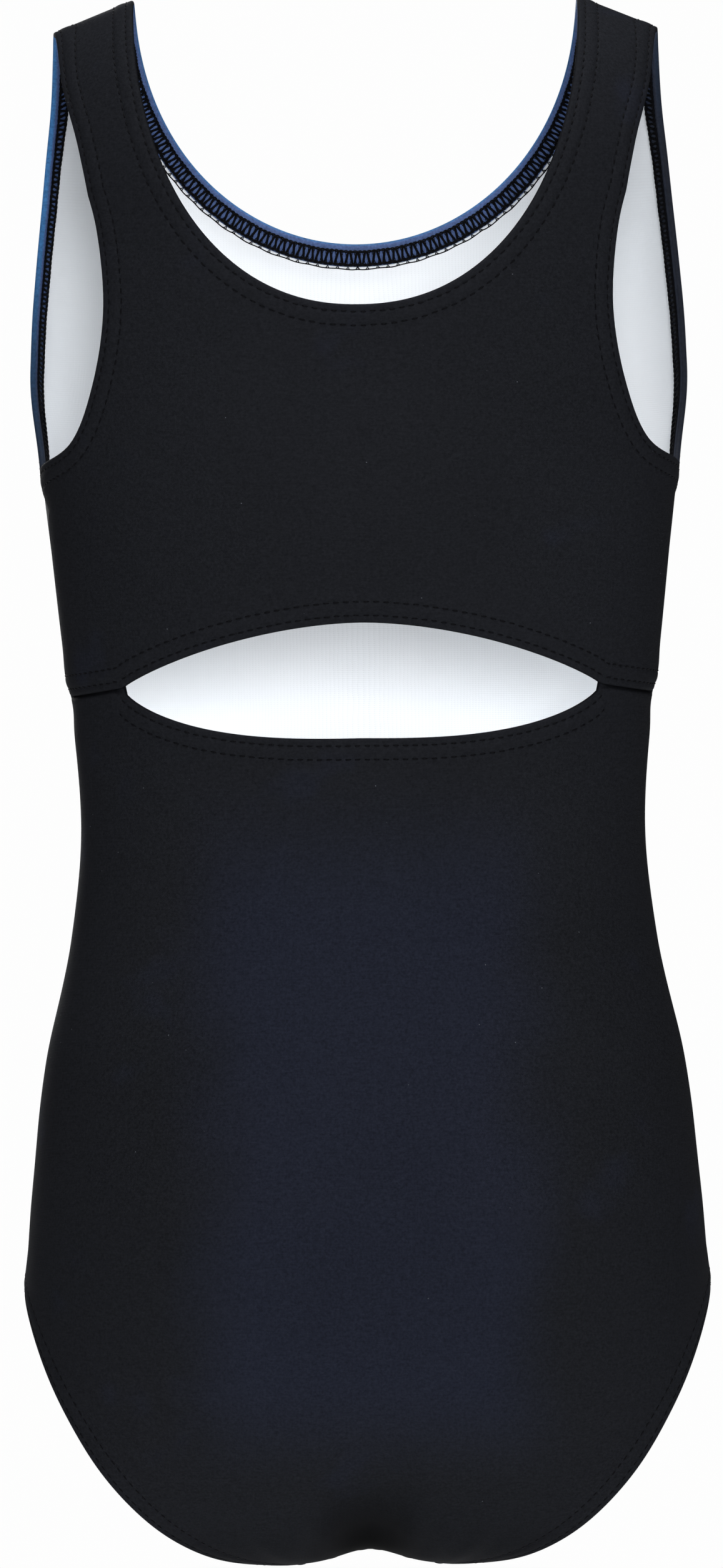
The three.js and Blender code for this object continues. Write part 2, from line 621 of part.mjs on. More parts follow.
const frontRows = LEG_CELLS + FRONT_SIDE_CELLS + ARMHOLE_CELLS;
const frontCentreRows = frontRows - NECK_CELLS;
const frontGrid = patch({
  inner: join(
    centreEdge(-GARMENT_LENGTH, SEAT_START, LEG_CELLS, FRONT),
    centreEdge(SEAT_START, edges.frontNeck[0].q, frontCentreRows - LEG_CELLS, FRONT),
    edges.frontNeck,
  ),
  outer: join(
    edges.frontLeg,
    sideEdge(HIP_CORNER_DROP, ARMHOLE_DROP, FRONT_SIDE_CELLS),
    edges.frontArmhole,
  ),
  bottom: levelEdge(0, CROTCH_HALF_WIDTH, -GARMENT_LENGTH, ACROSS, FRONT),
  top: shoulder,
});

const frontRims = [
  alongRow(0, 0, ACROSS),
  upColumn(ACROSS, LEG_CELLS, LEG_CELLS + FRONT_SIDE_CELLS),
  alongRow(frontRows, 0, ACROSS),
];
const frontFolds = [
  { rim: upColumn(ACROSS, 0, LEG_CELLS), sections: hems.frontLeg, capStart: true, capEnd: true },
  {
    rim: upColumn(ACROSS, LEG_CELLS + FRONT_SIDE_CELLS, frontRows),
    sections: hems.frontArmhole,
    capStart: true,
    capEnd: true,
  },
  { rim: upColumn(0, frontCentreRows, frontRows), sections: hems.frontNeck, capEnd: true },
];

function frontPanel() {
  const places = frontGrid.map((row) => row.map((p) => placeOn(p, FRONT)));
  return clothSolid({ places, top: CLOTH, bottom: 0, rims: frontRims, folds: frontFolds });
}

// ---------------------------------------------------------------- linings

function frontLining() {
  // The same cut as the front, drawn in from the fold of each hem.
  const places = frontGrid.map((row) => row.map((p) => placeOn(p, FRONT)));
  frontFolds.forEach(({ rim, sections }) => rim.forEach(([j, i], k) => {
    places[j][i] = sections[k].at(HEM_INSET);
  }));
  const rims = [...frontRims, ...frontFolds.map((fold) => fold.rim)];
  return clothSolid({ places, top: LINING_TOP, bottom: LINING_BOTTOM, rims });
}

function gussetRow(point, side) {
  // Places from the centre line out to a point beside a leg hem, at one height.
  const edge = patternPoint(Math.min(point.x, GUSSET_HALF_WIDTH), point.z);
  return Array.from({ length: GUSSET_CELLS + 1 }, (_, i) => (
    placeOn({ a: (edge.a * i) / GUSSET_CELLS, q: edge.q }, side, 0)
  ));
}

function gussetLining() {
  // A strip between the leg hems, through the crotch from the back to the front.
  const rowsOn = (side, sections, reach) => sections
    .map((section) => section.at(HEM_WIDTH + 2 * HEM_INSET).point)
    .filter((point) => point.z <= -GARMENT_LENGTH + reach)
    .map((point) => gussetRow(point, side));
  const back = rowsOn(BACK, ringHems.backLeg, GUSSET_BACK_REACH).reverse();
  const front = rowsOn(FRONT, ringHems.frontLeg, GUSSET_FRONT_REACH);
  const places = join(back, front);
  const end = places.length - 1;
  return clothSolid({
    places,
    top: GUSSET_TOP,
    bottom: GUSSET_BOTTOM,
    rims: [alongRow(0, 0, GUSSET_CELLS), alongRow(end, 0, GUSSET_CELLS), upColumn(GUSSET_CELLS, 0, end)],
  });
}

// ---------------------------------------------------------------- elastic and stitching in the hems

// A hem's whole run: up the back edge and down the front edge, on one side of the body or both.
function closedRun(back, front) {
  return [...back, ...front.slice(0, -1).reverse()].slice(0, -1);
}

const neckHalf = [...ringHems.backNeck, ...ringHems.frontNeck.slice(0, -1).reverse()];
const neckRun = [...neckHalf, ...neckHalf.slice(1, -1).reverse().map(mirrorSection)];
const bothWays = (half) => [...half.slice(1).reverse().map(mirrorSection), ...half];

const HEMS = {
  neck: { run: neckRun, loop: true },
  left_armhole: { run: closedRun(ringHems.backArmhole, ringHems.frontArmhole), loop: true },
  left_leg: { run: closedRun(ringHems.backLeg, ringHems.frontLeg), loop: true },
  keyhole_upper: { run: bothWays(hems.keyholeUpper.slice(0, -1)), loop: false },
  keyhole_lower: { run: bothWays(hems.keyholeLower.slice(0, KEYHOLE_CELLS)), loop: false },
};
['armhole', 'leg'].forEach((name) => {
  HEMS[`right_${name}`] = { run: HEMS[`left_${name}`].run.map(mirrorSection), loop: true };
});

const elasticOutline = band(HEM_INSET, HEM_WIDTH - HEM_INSET / 2, ELASTIC_TOP, ELASTIC_BOTTOM);
const stitchOutline = band(HEM_INSET, HEM_WIDTH - HEM_INSET / 2, STITCH_TOP, STITCH_BOTTOM);

// ---------------------------------------------------------------- stitching in the seams

const ACROSS_SEAM = new THREE.Vector3(0, 1, 0);
const seamOutline = band(-SEAM_STRIP_WIDTH / 2, SEAM_STRIP_WIDTH / 2, SEAM_STITCH_TOP, SEAM_STITCH_BOTTOM);

function sideSeam() {
  // Inside the side seam, stepping over the upper back's hem where the waist seam comes in.
  const clearOfHem = HEM_WIDTH + 2 * HEM_INSET;
  const edge = sideEdge(ARMHOLE_DROP + clearOfHem, HIP_CORNER_DROP - clearOfHem, SIDE_SEAM_CELLS);
  const hemMiddle = -WAIST_SEAM_SIDE_DROP + HEM_WIDTH / 2;
  return edge.map((p) => {
    const nearHem = smoothStep((3 * HEM_WIDTH - Math.abs(p.q - hemMiddle)) / HEM_WIDTH);
    const point = bodyPoint(p.a, p.q, BACK);
    point.x -= nearHem * (SEAM_STITCH_TOP - TURN_BOTTOM + 3 * LAYER_GAP);
    return flatSection(point, new THREE.Vector3(1, 0, 0), ACROSS_SEAM);
  });
}

function shoulderSeam() {
  const clearOfHem = HEM_WIDTH + HEM_INSET;
  return levelEdge(STRAP_INNER_X + clearOfHem, STRAP_OUTER_X - clearOfHem, 0, 2, BACK).map((p) => (
    flatSection(bodyPoint(p.a, 0, BACK).setComponent(1, 0), new THREE.Vector3(0, 0, 1), ACROSS_SEAM)
  ));
}

function crotchSeam() {
  const half = gussetRow(ringHems.backLeg[0].at(HEM_WIDTH + 2 * HEM_INSET).point, BACK)
    .map(({ point, normal }) => flatSection(point, normal, ACROSS_SEAM));
  return bothWays(half);
}

const leftSide = sideSeam();
const leftShoulder = shoulderSeam();
const leftWaist = hems.keyholeUpper.slice(KEYHOLE_CELLS);
const shoulderOutline = band(
  -SEAM_STRIP_WIDTH / 3, SEAM_STRIP_WIDTH / 3, SEAM_STITCH_TOP - LAYER_GAP, SEAM_STITCH_BOTTOM - LAYER_GAP,
);
const waistOutline = band(-WAIST_STRIP_REACH, CLOTH, WAIST_STITCH_TOP, WAIST_STITCH_BOTTOM);
const crotchOutline = band(
  -SEAM_STRIP_WIDTH / 2, SEAM_STRIP_WIDTH / 2, CROTCH_STITCH_TOP, CROTCH_STITCH_BOTTOM,
);

// ---------------------------------------------------------------- finishes

const finish = (color, roughness) => new THREE.MeshStandardMaterial({ color, roughness, metalness: 0 });
const BACK_CLOTH = [0x1c1e23, 0.62];
const FRONT_CLOTH = [0x2f5f96, 0.6];
const LINING_CLOTH = [0xeaf0f8, 0.85];
const ELASTIC_FINISH = [0x15161a, 0.8];
const THREAD_FINISH = [0x0c0d10, 0.7];

const leotard = new THREE.Group();

function add(name, geometry, [color, roughness]) {
  const mesh = new THREE.Mesh(geometry, finish(color, roughness));
  mesh.name = name;
  leotard.add(mesh);
}

add('back_upper_panel', backUpper(), BACK_CLOTH);
add('back_lower_panel', backLower(), BACK_CLOTH);
add('front_panel', frontPanel(), FRONT_CLOTH);
add('front_lining', frontLining(), LINING_CLOTH);
add('gusset_lining', gussetLining(), LINING_CLOTH);
Object.entries(HEMS).forEach(([name, { run, loop }]) => {
  add(`${name}_elastic`, sweptSolid(run, elasticOutline, loop), ELASTIC_FINISH);
  add(`${name}_coverstitch`, sweptSolid(run, stitchOutline, loop), THREAD_FINISH);
});
[['left', (run) => run], ['right', (run) => run.map(mirrorSection)]].forEach(([side, place]) => {
  add(`${side}_side_seam`, sweptSolid(place(leftSide), seamOutline, false), THREAD_FINISH);
  add(`${side}_shoulder_seam`, sweptSolid(place(leftShoulder), shoulderOutline, false), THREAD_FINISH);
  add(`${side}_waist_seam`, sweptSolid(place(leftWaist), waistOutline, false), THREAD_FINISH);
});
add('crotch_seam', sweptSolid(crotchSeam(), crotchOutline, false), THREAD_FINISH);

export default leotard;
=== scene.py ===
import json
import math

import bmesh
import bpy
import numpy as np
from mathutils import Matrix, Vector

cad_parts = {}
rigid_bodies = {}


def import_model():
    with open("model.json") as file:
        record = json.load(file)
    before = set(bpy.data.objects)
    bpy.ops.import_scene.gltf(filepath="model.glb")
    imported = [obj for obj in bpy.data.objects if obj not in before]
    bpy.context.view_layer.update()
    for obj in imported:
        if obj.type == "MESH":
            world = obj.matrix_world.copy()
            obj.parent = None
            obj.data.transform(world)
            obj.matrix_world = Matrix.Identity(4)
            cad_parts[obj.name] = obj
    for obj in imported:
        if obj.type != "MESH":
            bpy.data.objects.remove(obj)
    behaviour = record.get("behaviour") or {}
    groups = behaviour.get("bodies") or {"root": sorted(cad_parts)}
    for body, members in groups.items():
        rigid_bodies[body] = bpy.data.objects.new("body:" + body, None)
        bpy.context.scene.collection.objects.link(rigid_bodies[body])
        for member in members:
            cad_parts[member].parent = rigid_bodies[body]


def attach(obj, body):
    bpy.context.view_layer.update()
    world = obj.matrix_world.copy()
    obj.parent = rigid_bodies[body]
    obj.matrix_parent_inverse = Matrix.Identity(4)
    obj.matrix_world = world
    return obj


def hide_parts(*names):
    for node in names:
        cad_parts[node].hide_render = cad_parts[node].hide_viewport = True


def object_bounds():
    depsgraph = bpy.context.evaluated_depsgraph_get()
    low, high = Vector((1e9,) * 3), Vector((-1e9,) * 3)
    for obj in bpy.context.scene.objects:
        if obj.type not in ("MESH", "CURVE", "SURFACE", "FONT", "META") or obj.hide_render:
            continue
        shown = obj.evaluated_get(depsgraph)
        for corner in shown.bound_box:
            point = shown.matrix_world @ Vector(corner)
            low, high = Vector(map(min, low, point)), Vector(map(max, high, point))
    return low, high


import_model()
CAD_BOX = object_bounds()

bl_info = {
    "name": "Gymnastics leotard",
    "version": (1, 0, 0),
    "blender": (4, 5, 0),
    "location": "3D View > Sidebar > Leotard",
    "description": "Builds a sleeveless leotard with a keyhole back from its cut and sewn pieces",
    "category": "Add Mesh",
}

# ------------------------------------------------------------------ the body it is stretched over
# Lengths here are millimetres. The wearer faces -Y, and +X is the wearer's left.

GARMENT_LENGTH = 516
SHOULDER_DEPTH = 66
SEAT_DEPTH = 116
SEAT_START = SEAT_DEPTH - GARMENT_LENGTH
SHOULDER_SLOPE = 0.4
CROTCH_LIFT = 5
SECTION_POWER = 2.4
BODY_STATIONS = np.array([
    [0, 104.5, 58, 60], [-56, 107, 62, 64], [-120, 110.5, 62, 69], [-155, 105, 60, 70],
    [-206, 98.9, 55, 68], [-268, 92.6, 52, 64], [-310, 96.2, 60, 64], [-351, 105, 72, 65],
    [-392, 109.7, 80, 64], [-426, 112.6, 82, 62], [-516, 113.5, 82, 60],
], float)

# ------------------------------------------------------------------ the cut

STRAP_INNER_X = 73.5
STRAP_OUTER_X = 99.5
BACK_NECK_DROP = 104
FRONT_NECK_DROP = 77.5
BACK_NECK_POWER = 2.2
FRONT_NECK_POWER = 2
ARMHOLE_DROP = 155
BACK_ARMHOLE = [(94, -146.5), (86.5, -128), (82.8, -106), (84.8, -77), (90.5, -50), (96, -22)]
FRONT_ARMHOLE = [(106.2, -146), (108.6, -122), (107.2, -95), (104, -60), (101.5, -28)]
KEYHOLE_HALF_WIDTH = 78.5
KEYHOLE_TIP_DROP = 226.5
KEYHOLE_RISE = 20.4
KEYHOLE_FALL = 18.1
WAIST_SEAM_SIDE_DROP = 228.5
WAIST_SEAM_SAG = 0.9
HIP_CORNER_DROP = 426
CROTCH_HALF_WIDTH = 27
GUSSET_FRONT_REACH = 62
GUSSET_BACK_REACH = 26
GUSSET_HALF_WIDTH = 38

BACK = 1.0
FRONT = -1.0
QUARTER = math.pi / 2
SMALL_TURN = 0.004
SMALL_RISE = 0.3
TURN_LENGTH = 100
MM = 0.001

# ------------------------------------------------------------------ layers of a hem, from the cloth's inner face

CLOTH = 0.55
LINING_TOP = -0.12
LINING_BOTTOM = -0.42
ELASTIC_TOP = -0.5
ELASTIC_BOTTOM = -0.95
TURN_TOP = -1.05
TURN_BOTTOM = -1.6
HEM_WIDTH = 7.0
BAND_WIDTH = 7.6
NEEDLE_ROWS = (1.9, 6.4)
LIP_CENTRE = (0.58, -0.52)
LIP_RADIUS = 1.1


def lerp(a, b, t):
    return a + (b - a) * t


def smooth_step(value):
    t = np.clip(value, 0, 1)
    return t * t * (3 - 2 * t)


def station(height, column):
    z, v = BODY_STATIONS[:, 0], BODY_STATIONS[:, column]
    last = len(z) - 1
    lo, hi = np.maximum(np.arange(last + 1) - 1, 0), np.minimum(np.arange(last + 1) + 1, last)
    slope = (v[hi] - v[lo]) / (z[hi] - z[lo])
    i = np.clip(np.searchsorted(-z, -np.asarray(height, float), side="right") - 1, 0, last - 1)
    span = z[i + 1] - z[i]
    t = (height - z[i]) / span
    t2, t3 = t * t, t * t * t
    return ((2 * t3 - 3 * t2 + 1) * v[i] + (t3 - 2 * t2 + t) * span * slope[i]
            + (3 * t2 - 2 * t3) * v[i + 1] + (t3 - t2) * span * slope[i + 1])


def profile(q):
    """Height and fullness at a profile height, which turns over the shoulder and under the seat."""
    over = np.clip((q + SHOULDER_DEPTH) / SHOULDER_DEPTH, 0, 1) * QUARTER
    under = np.clip((SEAT_START - q) / SEAT_DEPTH, 0, 1) * QUARTER
    z = np.where(q > -SHOULDER_DEPTH, -SHOULDER_DEPTH + SHOULDER_DEPTH * np.sin(over), q)
    z = np.where(q < SEAT_START, SEAT_START - SEAT_DEPTH * np.sin(under), z)
    return z, np.cos(over) * np.cos(under)


def profile_height(z):
    over = np.clip((z + SHOULDER_DEPTH) / SHOULDER_DEPTH, 0, 1)
    under = np.clip((SEAT_START - z) / SEAT_DEPTH, 0, 1)
    q = np.where(z > -SHOULDER_DEPTH, -SHOULDER_DEPTH + SHOULDER_DEPTH * np.arcsin(over) / QUARTER, z)
    return np.where(z < SEAT_START, SEAT_START - SEAT_DEPTH * np.arcsin(under) / QUARTER, q)


def unrolled(q):
    """Profile height on one even scale, past the turns over the shoulder and under the seat too."""
    past = np.maximum(q + SHOULDER_DEPTH, 0) + np.minimum(q - SEAT_START, 0)
    return q + past * (QUARTER - 1)


def rolled(w):
    """The profile height at a place on that even scale: unrolled, undone."""
    past = np.maximum(w + SHOULDER_DEPTH, 0) + np.minimum(w - SEAT_START, 0)
    return w - past * (1 - 1 / QUARTER)


def body_point(a, q, side):
    z, fullness = profile(q)
    power = 2 / SECTION_POWER
    x = station(z, 1) * np.abs(np.sin(a)) ** power * np.sign(a)
    depth = np.where(side > 0, station(z, 2), station(z, 3))
    y = side * depth * np.maximum(fullness, 0) * np.maximum(np.cos(a), 0) ** power
    near_shoulder = smooth_step((z + SHOULDER_DEPTH) / SHOULDER_DEPTH)
    near_crotch = smooth_step((SEAT_START - z) / SEAT_DEPTH)
    slope = -SHOULDER_SLOPE * np.maximum(np.abs(x) - STRAP_INNER_X, 0) * near_shoulder
    lift = CROTCH_LIFT * np.exp(-((2 * x) / CROTCH_HALF_WIDTH) ** 2) * near_crotch
    return np.stack([x, y, z + slope + lift], -1)


def unit(v):
    return v / np.maximum(np.linalg.norm(v, axis=-1, keepdims=True), 1e-9)


def body_normal(a, q, side):
    level = np.clip(q, SMALL_RISE - GARMENT_LENGTH, -SMALL_RISE)
    b = np.minimum(np.abs(a), QUARTER - 2 * SMALL_TURN) * np.where(a < 0, -1, 1)
    along_x = body_point(b + SMALL_TURN, level, side) - body_point(b - SMALL_TURN, level, side)
    along_z = body_point(b, level + SMALL_RISE, side) - body_point(b, level - SMALL_RISE, side)
    normal = unit(np.cross(along_x, along_z)) * (-1 if side > 0 else 1)
    on_join = (np.abs(np.abs(a) - QUARTER) < SMALL_TURN) | (level != q)
    normal[..., 1] = np.where(on_join, 0, normal[..., 1])
    return unit(normal)


def ripples(u, v, seed, longest, count=7):
    """Smooth, seeded unevenness from a few crossing waves, about -1 to 1."""
    rng = np.random.default_rng(seed)
    total = np.zeros_like(u)
    for _ in range(count):
        turn, phase = rng.uniform(0, 2 * math.pi, 2)
        size = longest * rng.uniform(0.45, 1)
        total = total + np.sin((u * math.cos(turn) + v * math.sin(turn)) * 2 * math.pi / size + phase)
    return total / count ** 0.5 / 1.4


def relief(a, q, side):
    """How far the stretched cloth stands off the smooth body: hollows, creases and seams."""
    p = body_point(a, q, side)
    x, z = p[..., 0], p[..., 2]
    to_seam = np.abs(p[..., 1])
    open_cloth = smooth_step(to_seam / 14)
    rim = smooth_step((q + 514) / 26)
    hollow = -2.2 * np.exp(-(x / 17) ** 2) * smooth_step((-395 - q) / 90)
    hollow = (hollow - 2.6 * np.exp(-(x / 7.5) ** 2) * smooth_step((-455 - q) / 61)) * rim
    out = 0.22 * ripples(x, z, 3 if side > 0 else 4, 95) * open_cloth
    out = out + 0.07 * ripples(x, z, 5, 34) * open_cloth
    if side > 0:
        out = out + hollow
        across = np.abs(x) - 15 - 5 * smooth_step((q + GARMENT_LENGTH) / 30)
        creases = -1.3 * np.exp(-(across / 3.2) ** 2) * smooth_step((-470 - q) / 34)
        creases = creases + 0.9 * np.exp(-((across - 7) / 4.0) ** 2) * smooth_step((-462 - q) / 40)
        fan = np.arctan2(x, q + 560)
        creases = creases + 0.35 * np.sin(fan * 46) * smooth_step((-430 - q) / 60) * np.exp(-(x / 42) ** 2)
        out = out + creases * rim
    else:
        out = out + hollow * lerp(1, 0.45, open_cloth)
        fan = np.arctan2(x, q + 575)
        out = out + 0.3 * np.sin(fan * 38) * smooth_step((-440 - q) / 60) * np.exp(-(x / 45) ** 2)
        out = out + 0.8 * np.exp(-((np.abs(x) - 42) / 26) ** 2 - ((q + 118) / 26) ** 2)
    waist = np.exp(-((q + 233) / 6) ** 2) - 0.55 * np.exp(-((q + 221) / 5) ** 2)
    out = out - 0.75 * waist * np.exp(-(to_seam / 22) ** 2)
    groove = np.exp(-(to_seam / 0.75) ** 2) * smooth_step((-8 - q) / 8) * smooth_step((q + 505) / 8)
    return out - 0.28 * groove


def place_on(a, q, side, gap=0.12):
    point = body_point(a, q, side)
    normal = body_normal(a, q, side)
    short = np.abs(point[..., 1]) < gap / 2
    point[..., 1] = np.where(short, side * gap / 2, point[..., 1])
    return point + normal * relief(a, q, side)[..., None], normal


def pattern_point(x, z):
    ratio = np.minimum(1, np.abs(x) / station(z, 1))
    return np.stack([np.arcsin(ratio ** (SECTION_POWER / 2)) * np.sign(x), profile_height(z)], -1)


def quarter_girths():
    q = np.linspace(-GARMENT_LENGTH, 0, 130)
    a = np.linspace(0, QUARTER, 90)
    grid = body_point(a[None, :] + 0 * q[:, None], q[:, None] + 0 * a[None, :], BACK)
    return q, np.linalg.norm(np.diff(grid, axis=1), axis=-1).sum(1)


GIRTH_Q, GIRTH = quarter_girths()


def laid_flat(a, q, turned=0.0):
    """The cloth's own coordinates, in millimetres, for its knit, and how far it is turned inside."""
    u = a / QUARTER * np.interp(q, GIRTH_Q, GIRTH)
    return np.stack([u, q + 0 * a, turned + 0 * a], -1)


# ------------------------------------------------------------------ edges of the cut, wearer's left half

FINE = 640
END_EASE = 6      # length over which a hem's way in turns to follow the seam it ends on


def resample(points, cells, side, crowding=1.0):
    run = np.concatenate([[0], np.cumsum(np.linalg.norm(
        np.diff(body_point(points[:, 0], points[:, 1], side), axis=0), axis=-1))])
    target = run[-1] * (1 - (1 - np.arange(cells + 1) / cells) ** crowding)
    return np.stack([np.interp(target, run, points[:, k]) for k in (0, 1)], -1)


def sampled(formula, cells, side, crowding=1.0):
    return resample(formula(np.linspace(0, 1, FINE + 1)), cells, side, crowding)


def neck_edge(side, cells):
    drop = BACK_NECK_DROP if side > 0 else FRONT_NECK_DROP
    power = 2 / (BACK_NECK_POWER if side > 0 else FRONT_NECK_POWER)
    return sampled(lambda t: pattern_point(
        STRAP_INNER_X * np.sin(t * QUARTER) ** power,
        -drop * np.maximum(np.cos(t * QUARTER), 0) ** power), cells, side)


def through(points, t):
    """Centripetal Catmull-Rom curve through pattern points."""
    p = np.array(points, float)
    p = np.vstack([2 * p[0] - p[1], p, 2 * p[-1] - p[-2]])
    place = t * (len(p) - 3)
    i = np.minimum(place.astype(int), len(p) - 4)
    w = (place - i)[:, None]
    x0, x1, x2, x3 = p[i], p[i + 1], p[i + 2], p[i + 3]
    d0, d1, d2 = (np.sqrt(np.linalg.norm(b - a, axis=-1, keepdims=True))
                  for a, b in ((x0, x1), (x1, x2), (x2, x3)))
    t1 = ((x1 - x0) / d0 - (x2 - x0) / (d0 + d1) + (x2 - x1) / d1) * d1
    t2 = ((x2 - x1) / d1 - (x3 - x1) / (d1 + d2) + (x3 - x2) / d2) * d1
    return (x1 + t1 * w + (-3 * x1 + 3 * x2 - 2 * t1 - t2) * w ** 2
            + (2 * x1 - 2 * x2 + t1 + t2) * w ** 3)


def armhole_edge(side, cells):
    middle = [pattern_point(x, z) for x, z in (BACK_ARMHOLE if side > 0 else FRONT_ARMHOLE)]
    points = [np.array([QUARTER, -ARMHOLE_DROP]), *middle, pattern_point(STRAP_OUTER_X, 0)]
    scale = np.array([TURN_LENGTH, 1])
    return sampled(lambda t: through([p * scale for p in points], t) / scale, cells, side)


def leg_edge(side, cells):
    fall = GARMENT_LENGTH - HIP_CORNER_DROP
    hip = station(-HIP_CORNER_DROP, 1)
    down_power, width_power = (1.2, 2.4) if side > 0 else (0.95, 1.25)

    def formula(t):
        down = np.maximum(np.cos(t * QUARTER), 0)
        share = np.maximum(1 - down ** down_power, 0) ** (1 / width_power)
        return pattern_point(lerp(CROTCH_HALF_WIDTH, hip, share), -HIP_CORNER_DROP - fall * down)

    return sampled(formula, cells, side)


def keyhole_arc(x, upper):
    share = np.minimum(1, x / KEYHOLE_HALF_WIDTH)
    if upper:
        return -KEYHOLE_TIP_DROP + KEYHOLE_RISE * (1 - share ** 1.8) ** (1 / 1.15)
    return -KEYHOLE_TIP_DROP - KEYHOLE_FALL * (1 - share ** 2.8) ** (1 / 1.4)


def waist_edge(upper, cells_arc, cells_wing):
    """Centre line to the side: the keyhole's edge as far as its tip, then the waist seam."""
    shift = 0 if upper else -1.35

    def arc(t):
        x = KEYHOLE_HALF_WIDTH * np.sin(t * QUARTER)
        return pattern_point(x, keyhole_arc(x, upper) + shift * t)

    tip = pattern_point(KEYHOLE_HALF_WIDTH, -KEYHOLE_TIP_DROP + shift)

    def wing(t):
        q = lerp(tip[1], -WAIST_SEAM_SIDE_DROP + shift, t) - WAIST_SEAM_SAG * np.sin(t * math.pi) ** 0.8
        return np.stack([lerp(tip[0], QUARTER, t), q], -1)

    return np.vstack([sampled(arc, cells_arc, BACK), sampled(wing, cells_wing, BACK)[1:]])


# ------------------------------------------------------------------ an edge's run and its cross-sections

class Run:
    """An edge with the way in from it, so that anything can be set at a length along and a width in."""

    def __init__(self, edge, side, into, starts_on, ends_on, ease=0.0):
        self.side, self.edge = side, edge
        points = body_point(edge[:, 0], edge[:, 1], side)
        normals = body_normal(edge[:, 0], edge[:, 1], side)
        along = np.zeros_like(points)
        along[1:-1] = points[2:] - points[:-2]
        along[0], along[-1] = points[1] - points[0], points[-1] - points[-2]
        inward = unit(np.cross(normals, along))
        towards = body_point(np.array(into[0]), np.array(into[1]), side) - points
        inward *= np.where((inward * towards).sum(-1) < 0, -1, 1)[:, None]
        self.s = np.concatenate([[0], np.cumsum(np.linalg.norm(np.diff(points, axis=0), axis=-1))])
        self.length = self.s[-1]
        if ease:
            share = np.exp(-((self.s[:, None] - self.s[None]) / ease) ** 2) * np.gradient(self.s)[None]
            inward = unit(share @ inward)
        self.step = self.pattern_step(edge, inward)
        for end, plane in ((0, starts_on), (-1, ends_on)):
            self.step[end, 0 if plane in ("centre", "side") else 1] = 0
            far = body_point(*self.stepped(*edge[end], *self.step[end], HEM_WIDTH), side)
            self.step[end] /= np.linalg.norm(far - points[end]) / HEM_WIDTH
            near = smooth_step(np.abs(self.s - self.s[end]) / END_EASE)[:, None]
            self.step = lerp(self.step[end], self.step, near)

    def pattern_step(self, edge, direction):
        a = np.minimum(edge[:, 0], QUARTER - 2 * SMALL_TURN)
        q = np.clip(edge[:, 1], SMALL_RISE - GARMENT_LENGTH, -SMALL_RISE)
        per_a = (body_point(a + SMALL_TURN, q, self.side)
                 - body_point(a - SMALL_TURN, q, self.side)) / (2 * SMALL_TURN)
        per_q = (body_point(a, q + SMALL_RISE, self.side)
                 - body_point(a, q - SMALL_RISE, self.side)) / (2 * SMALL_RISE)
        aa, aq, qq = (per_a ** 2).sum(-1), (per_a * per_q).sum(-1), (per_q ** 2).sum(-1)
        da, dq = (direction * per_a).sum(-1), (direction * per_q).sum(-1)
        det = aa * qq - aq * aq
        rise = np.where((q > -SHOULDER_DEPTH) | (q < SEAT_START), QUARTER, 1)
        return np.stack([(da * qq - dq * aq) / det, (dq * aa - da * aq) / det * rise], -1)

    def stepped(self, a, q, da, dq, width):
        return np.minimum(QUARTER, a + da * width), np.minimum(0, rolled(unrolled(q) + dq * width))

    def pattern_at(self, s, width):
        """Pattern points at lengths s along the run and widths in from it."""
        return self.stepped(*(np.interp(s, self.s, column) for column in (*self.edge.T, *self.step.T)), width)

    def inset(self, width):
        return np.stack(self.pattern_at(self.s, width), -1)

    def at(self, s, width, height):
        place, normal = place_on(*self.pattern_at(s, width), self.side)
        return place + normal * np.asarray(height)[..., None], normal


def lip_points(start, end, count):
    turn = np.radians(np.linspace(start, end, count))
    return [(LIP_CENTRE[0] + LIP_RADIUS * math.cos(t), LIP_CENTRE[1] + LIP_RADIUS * math.sin(t)) for t in turn]


def hem_outline(bulge):
    """The cloth's path through a folded hem in section, and how far each point is turned inside."""
    sunk = CLOTH - 0.13
    outside = [
        (BAND_WIDTH, CLOTH), (7.1, CLOTH + 0.03), (6.7, CLOTH - 0.02), (6.3, sunk),
        (5.95, CLOTH + 0.1 * bulge),
        (5.4, CLOTH + 0.7 * bulge), (4.7, CLOTH + bulge), (4.1, CLOTH + 1.08 * bulge), (3.5, CLOTH + bulge),
        (2.8, CLOTH + 0.7 * bulge), (2.25, CLOTH + 0.1 * bulge), (1.9, sunk), (1.6, CLOTH - 0.01),
        (1.2, CLOTH + 0.04),
    ]
    lip = lip_points(84, 270, 12)
    inside = [
        (1.3, TURN_BOTTOM - 0.02), (1.9, TURN_BOTTOM + 0.1), (2.6, TURN_BOTTOM - 0.05),
        (4.1, TURN_BOTTOM - 0.12),
        (5.6, TURN_BOTTOM - 0.05), (6.3, TURN_BOTTOM + 0.1), (6.9, TURN_BOTTOM), (7.1, TURN_BOTTOM + 0.27),
        (6.9, TURN_TOP), (5.5, TURN_TOP), (3.5, TURN_TOP), (1.8, TURN_TOP), (1.15, TURN_TOP + 0.12),
        (0.9, -0.62), (0.95, -0.25), (1.25, -0.02), (2.5, 0), (4.5, 0), (6.3, 0), (BAND_WIDTH, 0),
    ]
    outline = np.array(outside + lip + inside)
    turned = np.concatenate([
        np.zeros(len(outside) + 3), np.linspace(0.1, 1, 9), np.ones(12), np.zeros(8)])
    return outline, turned


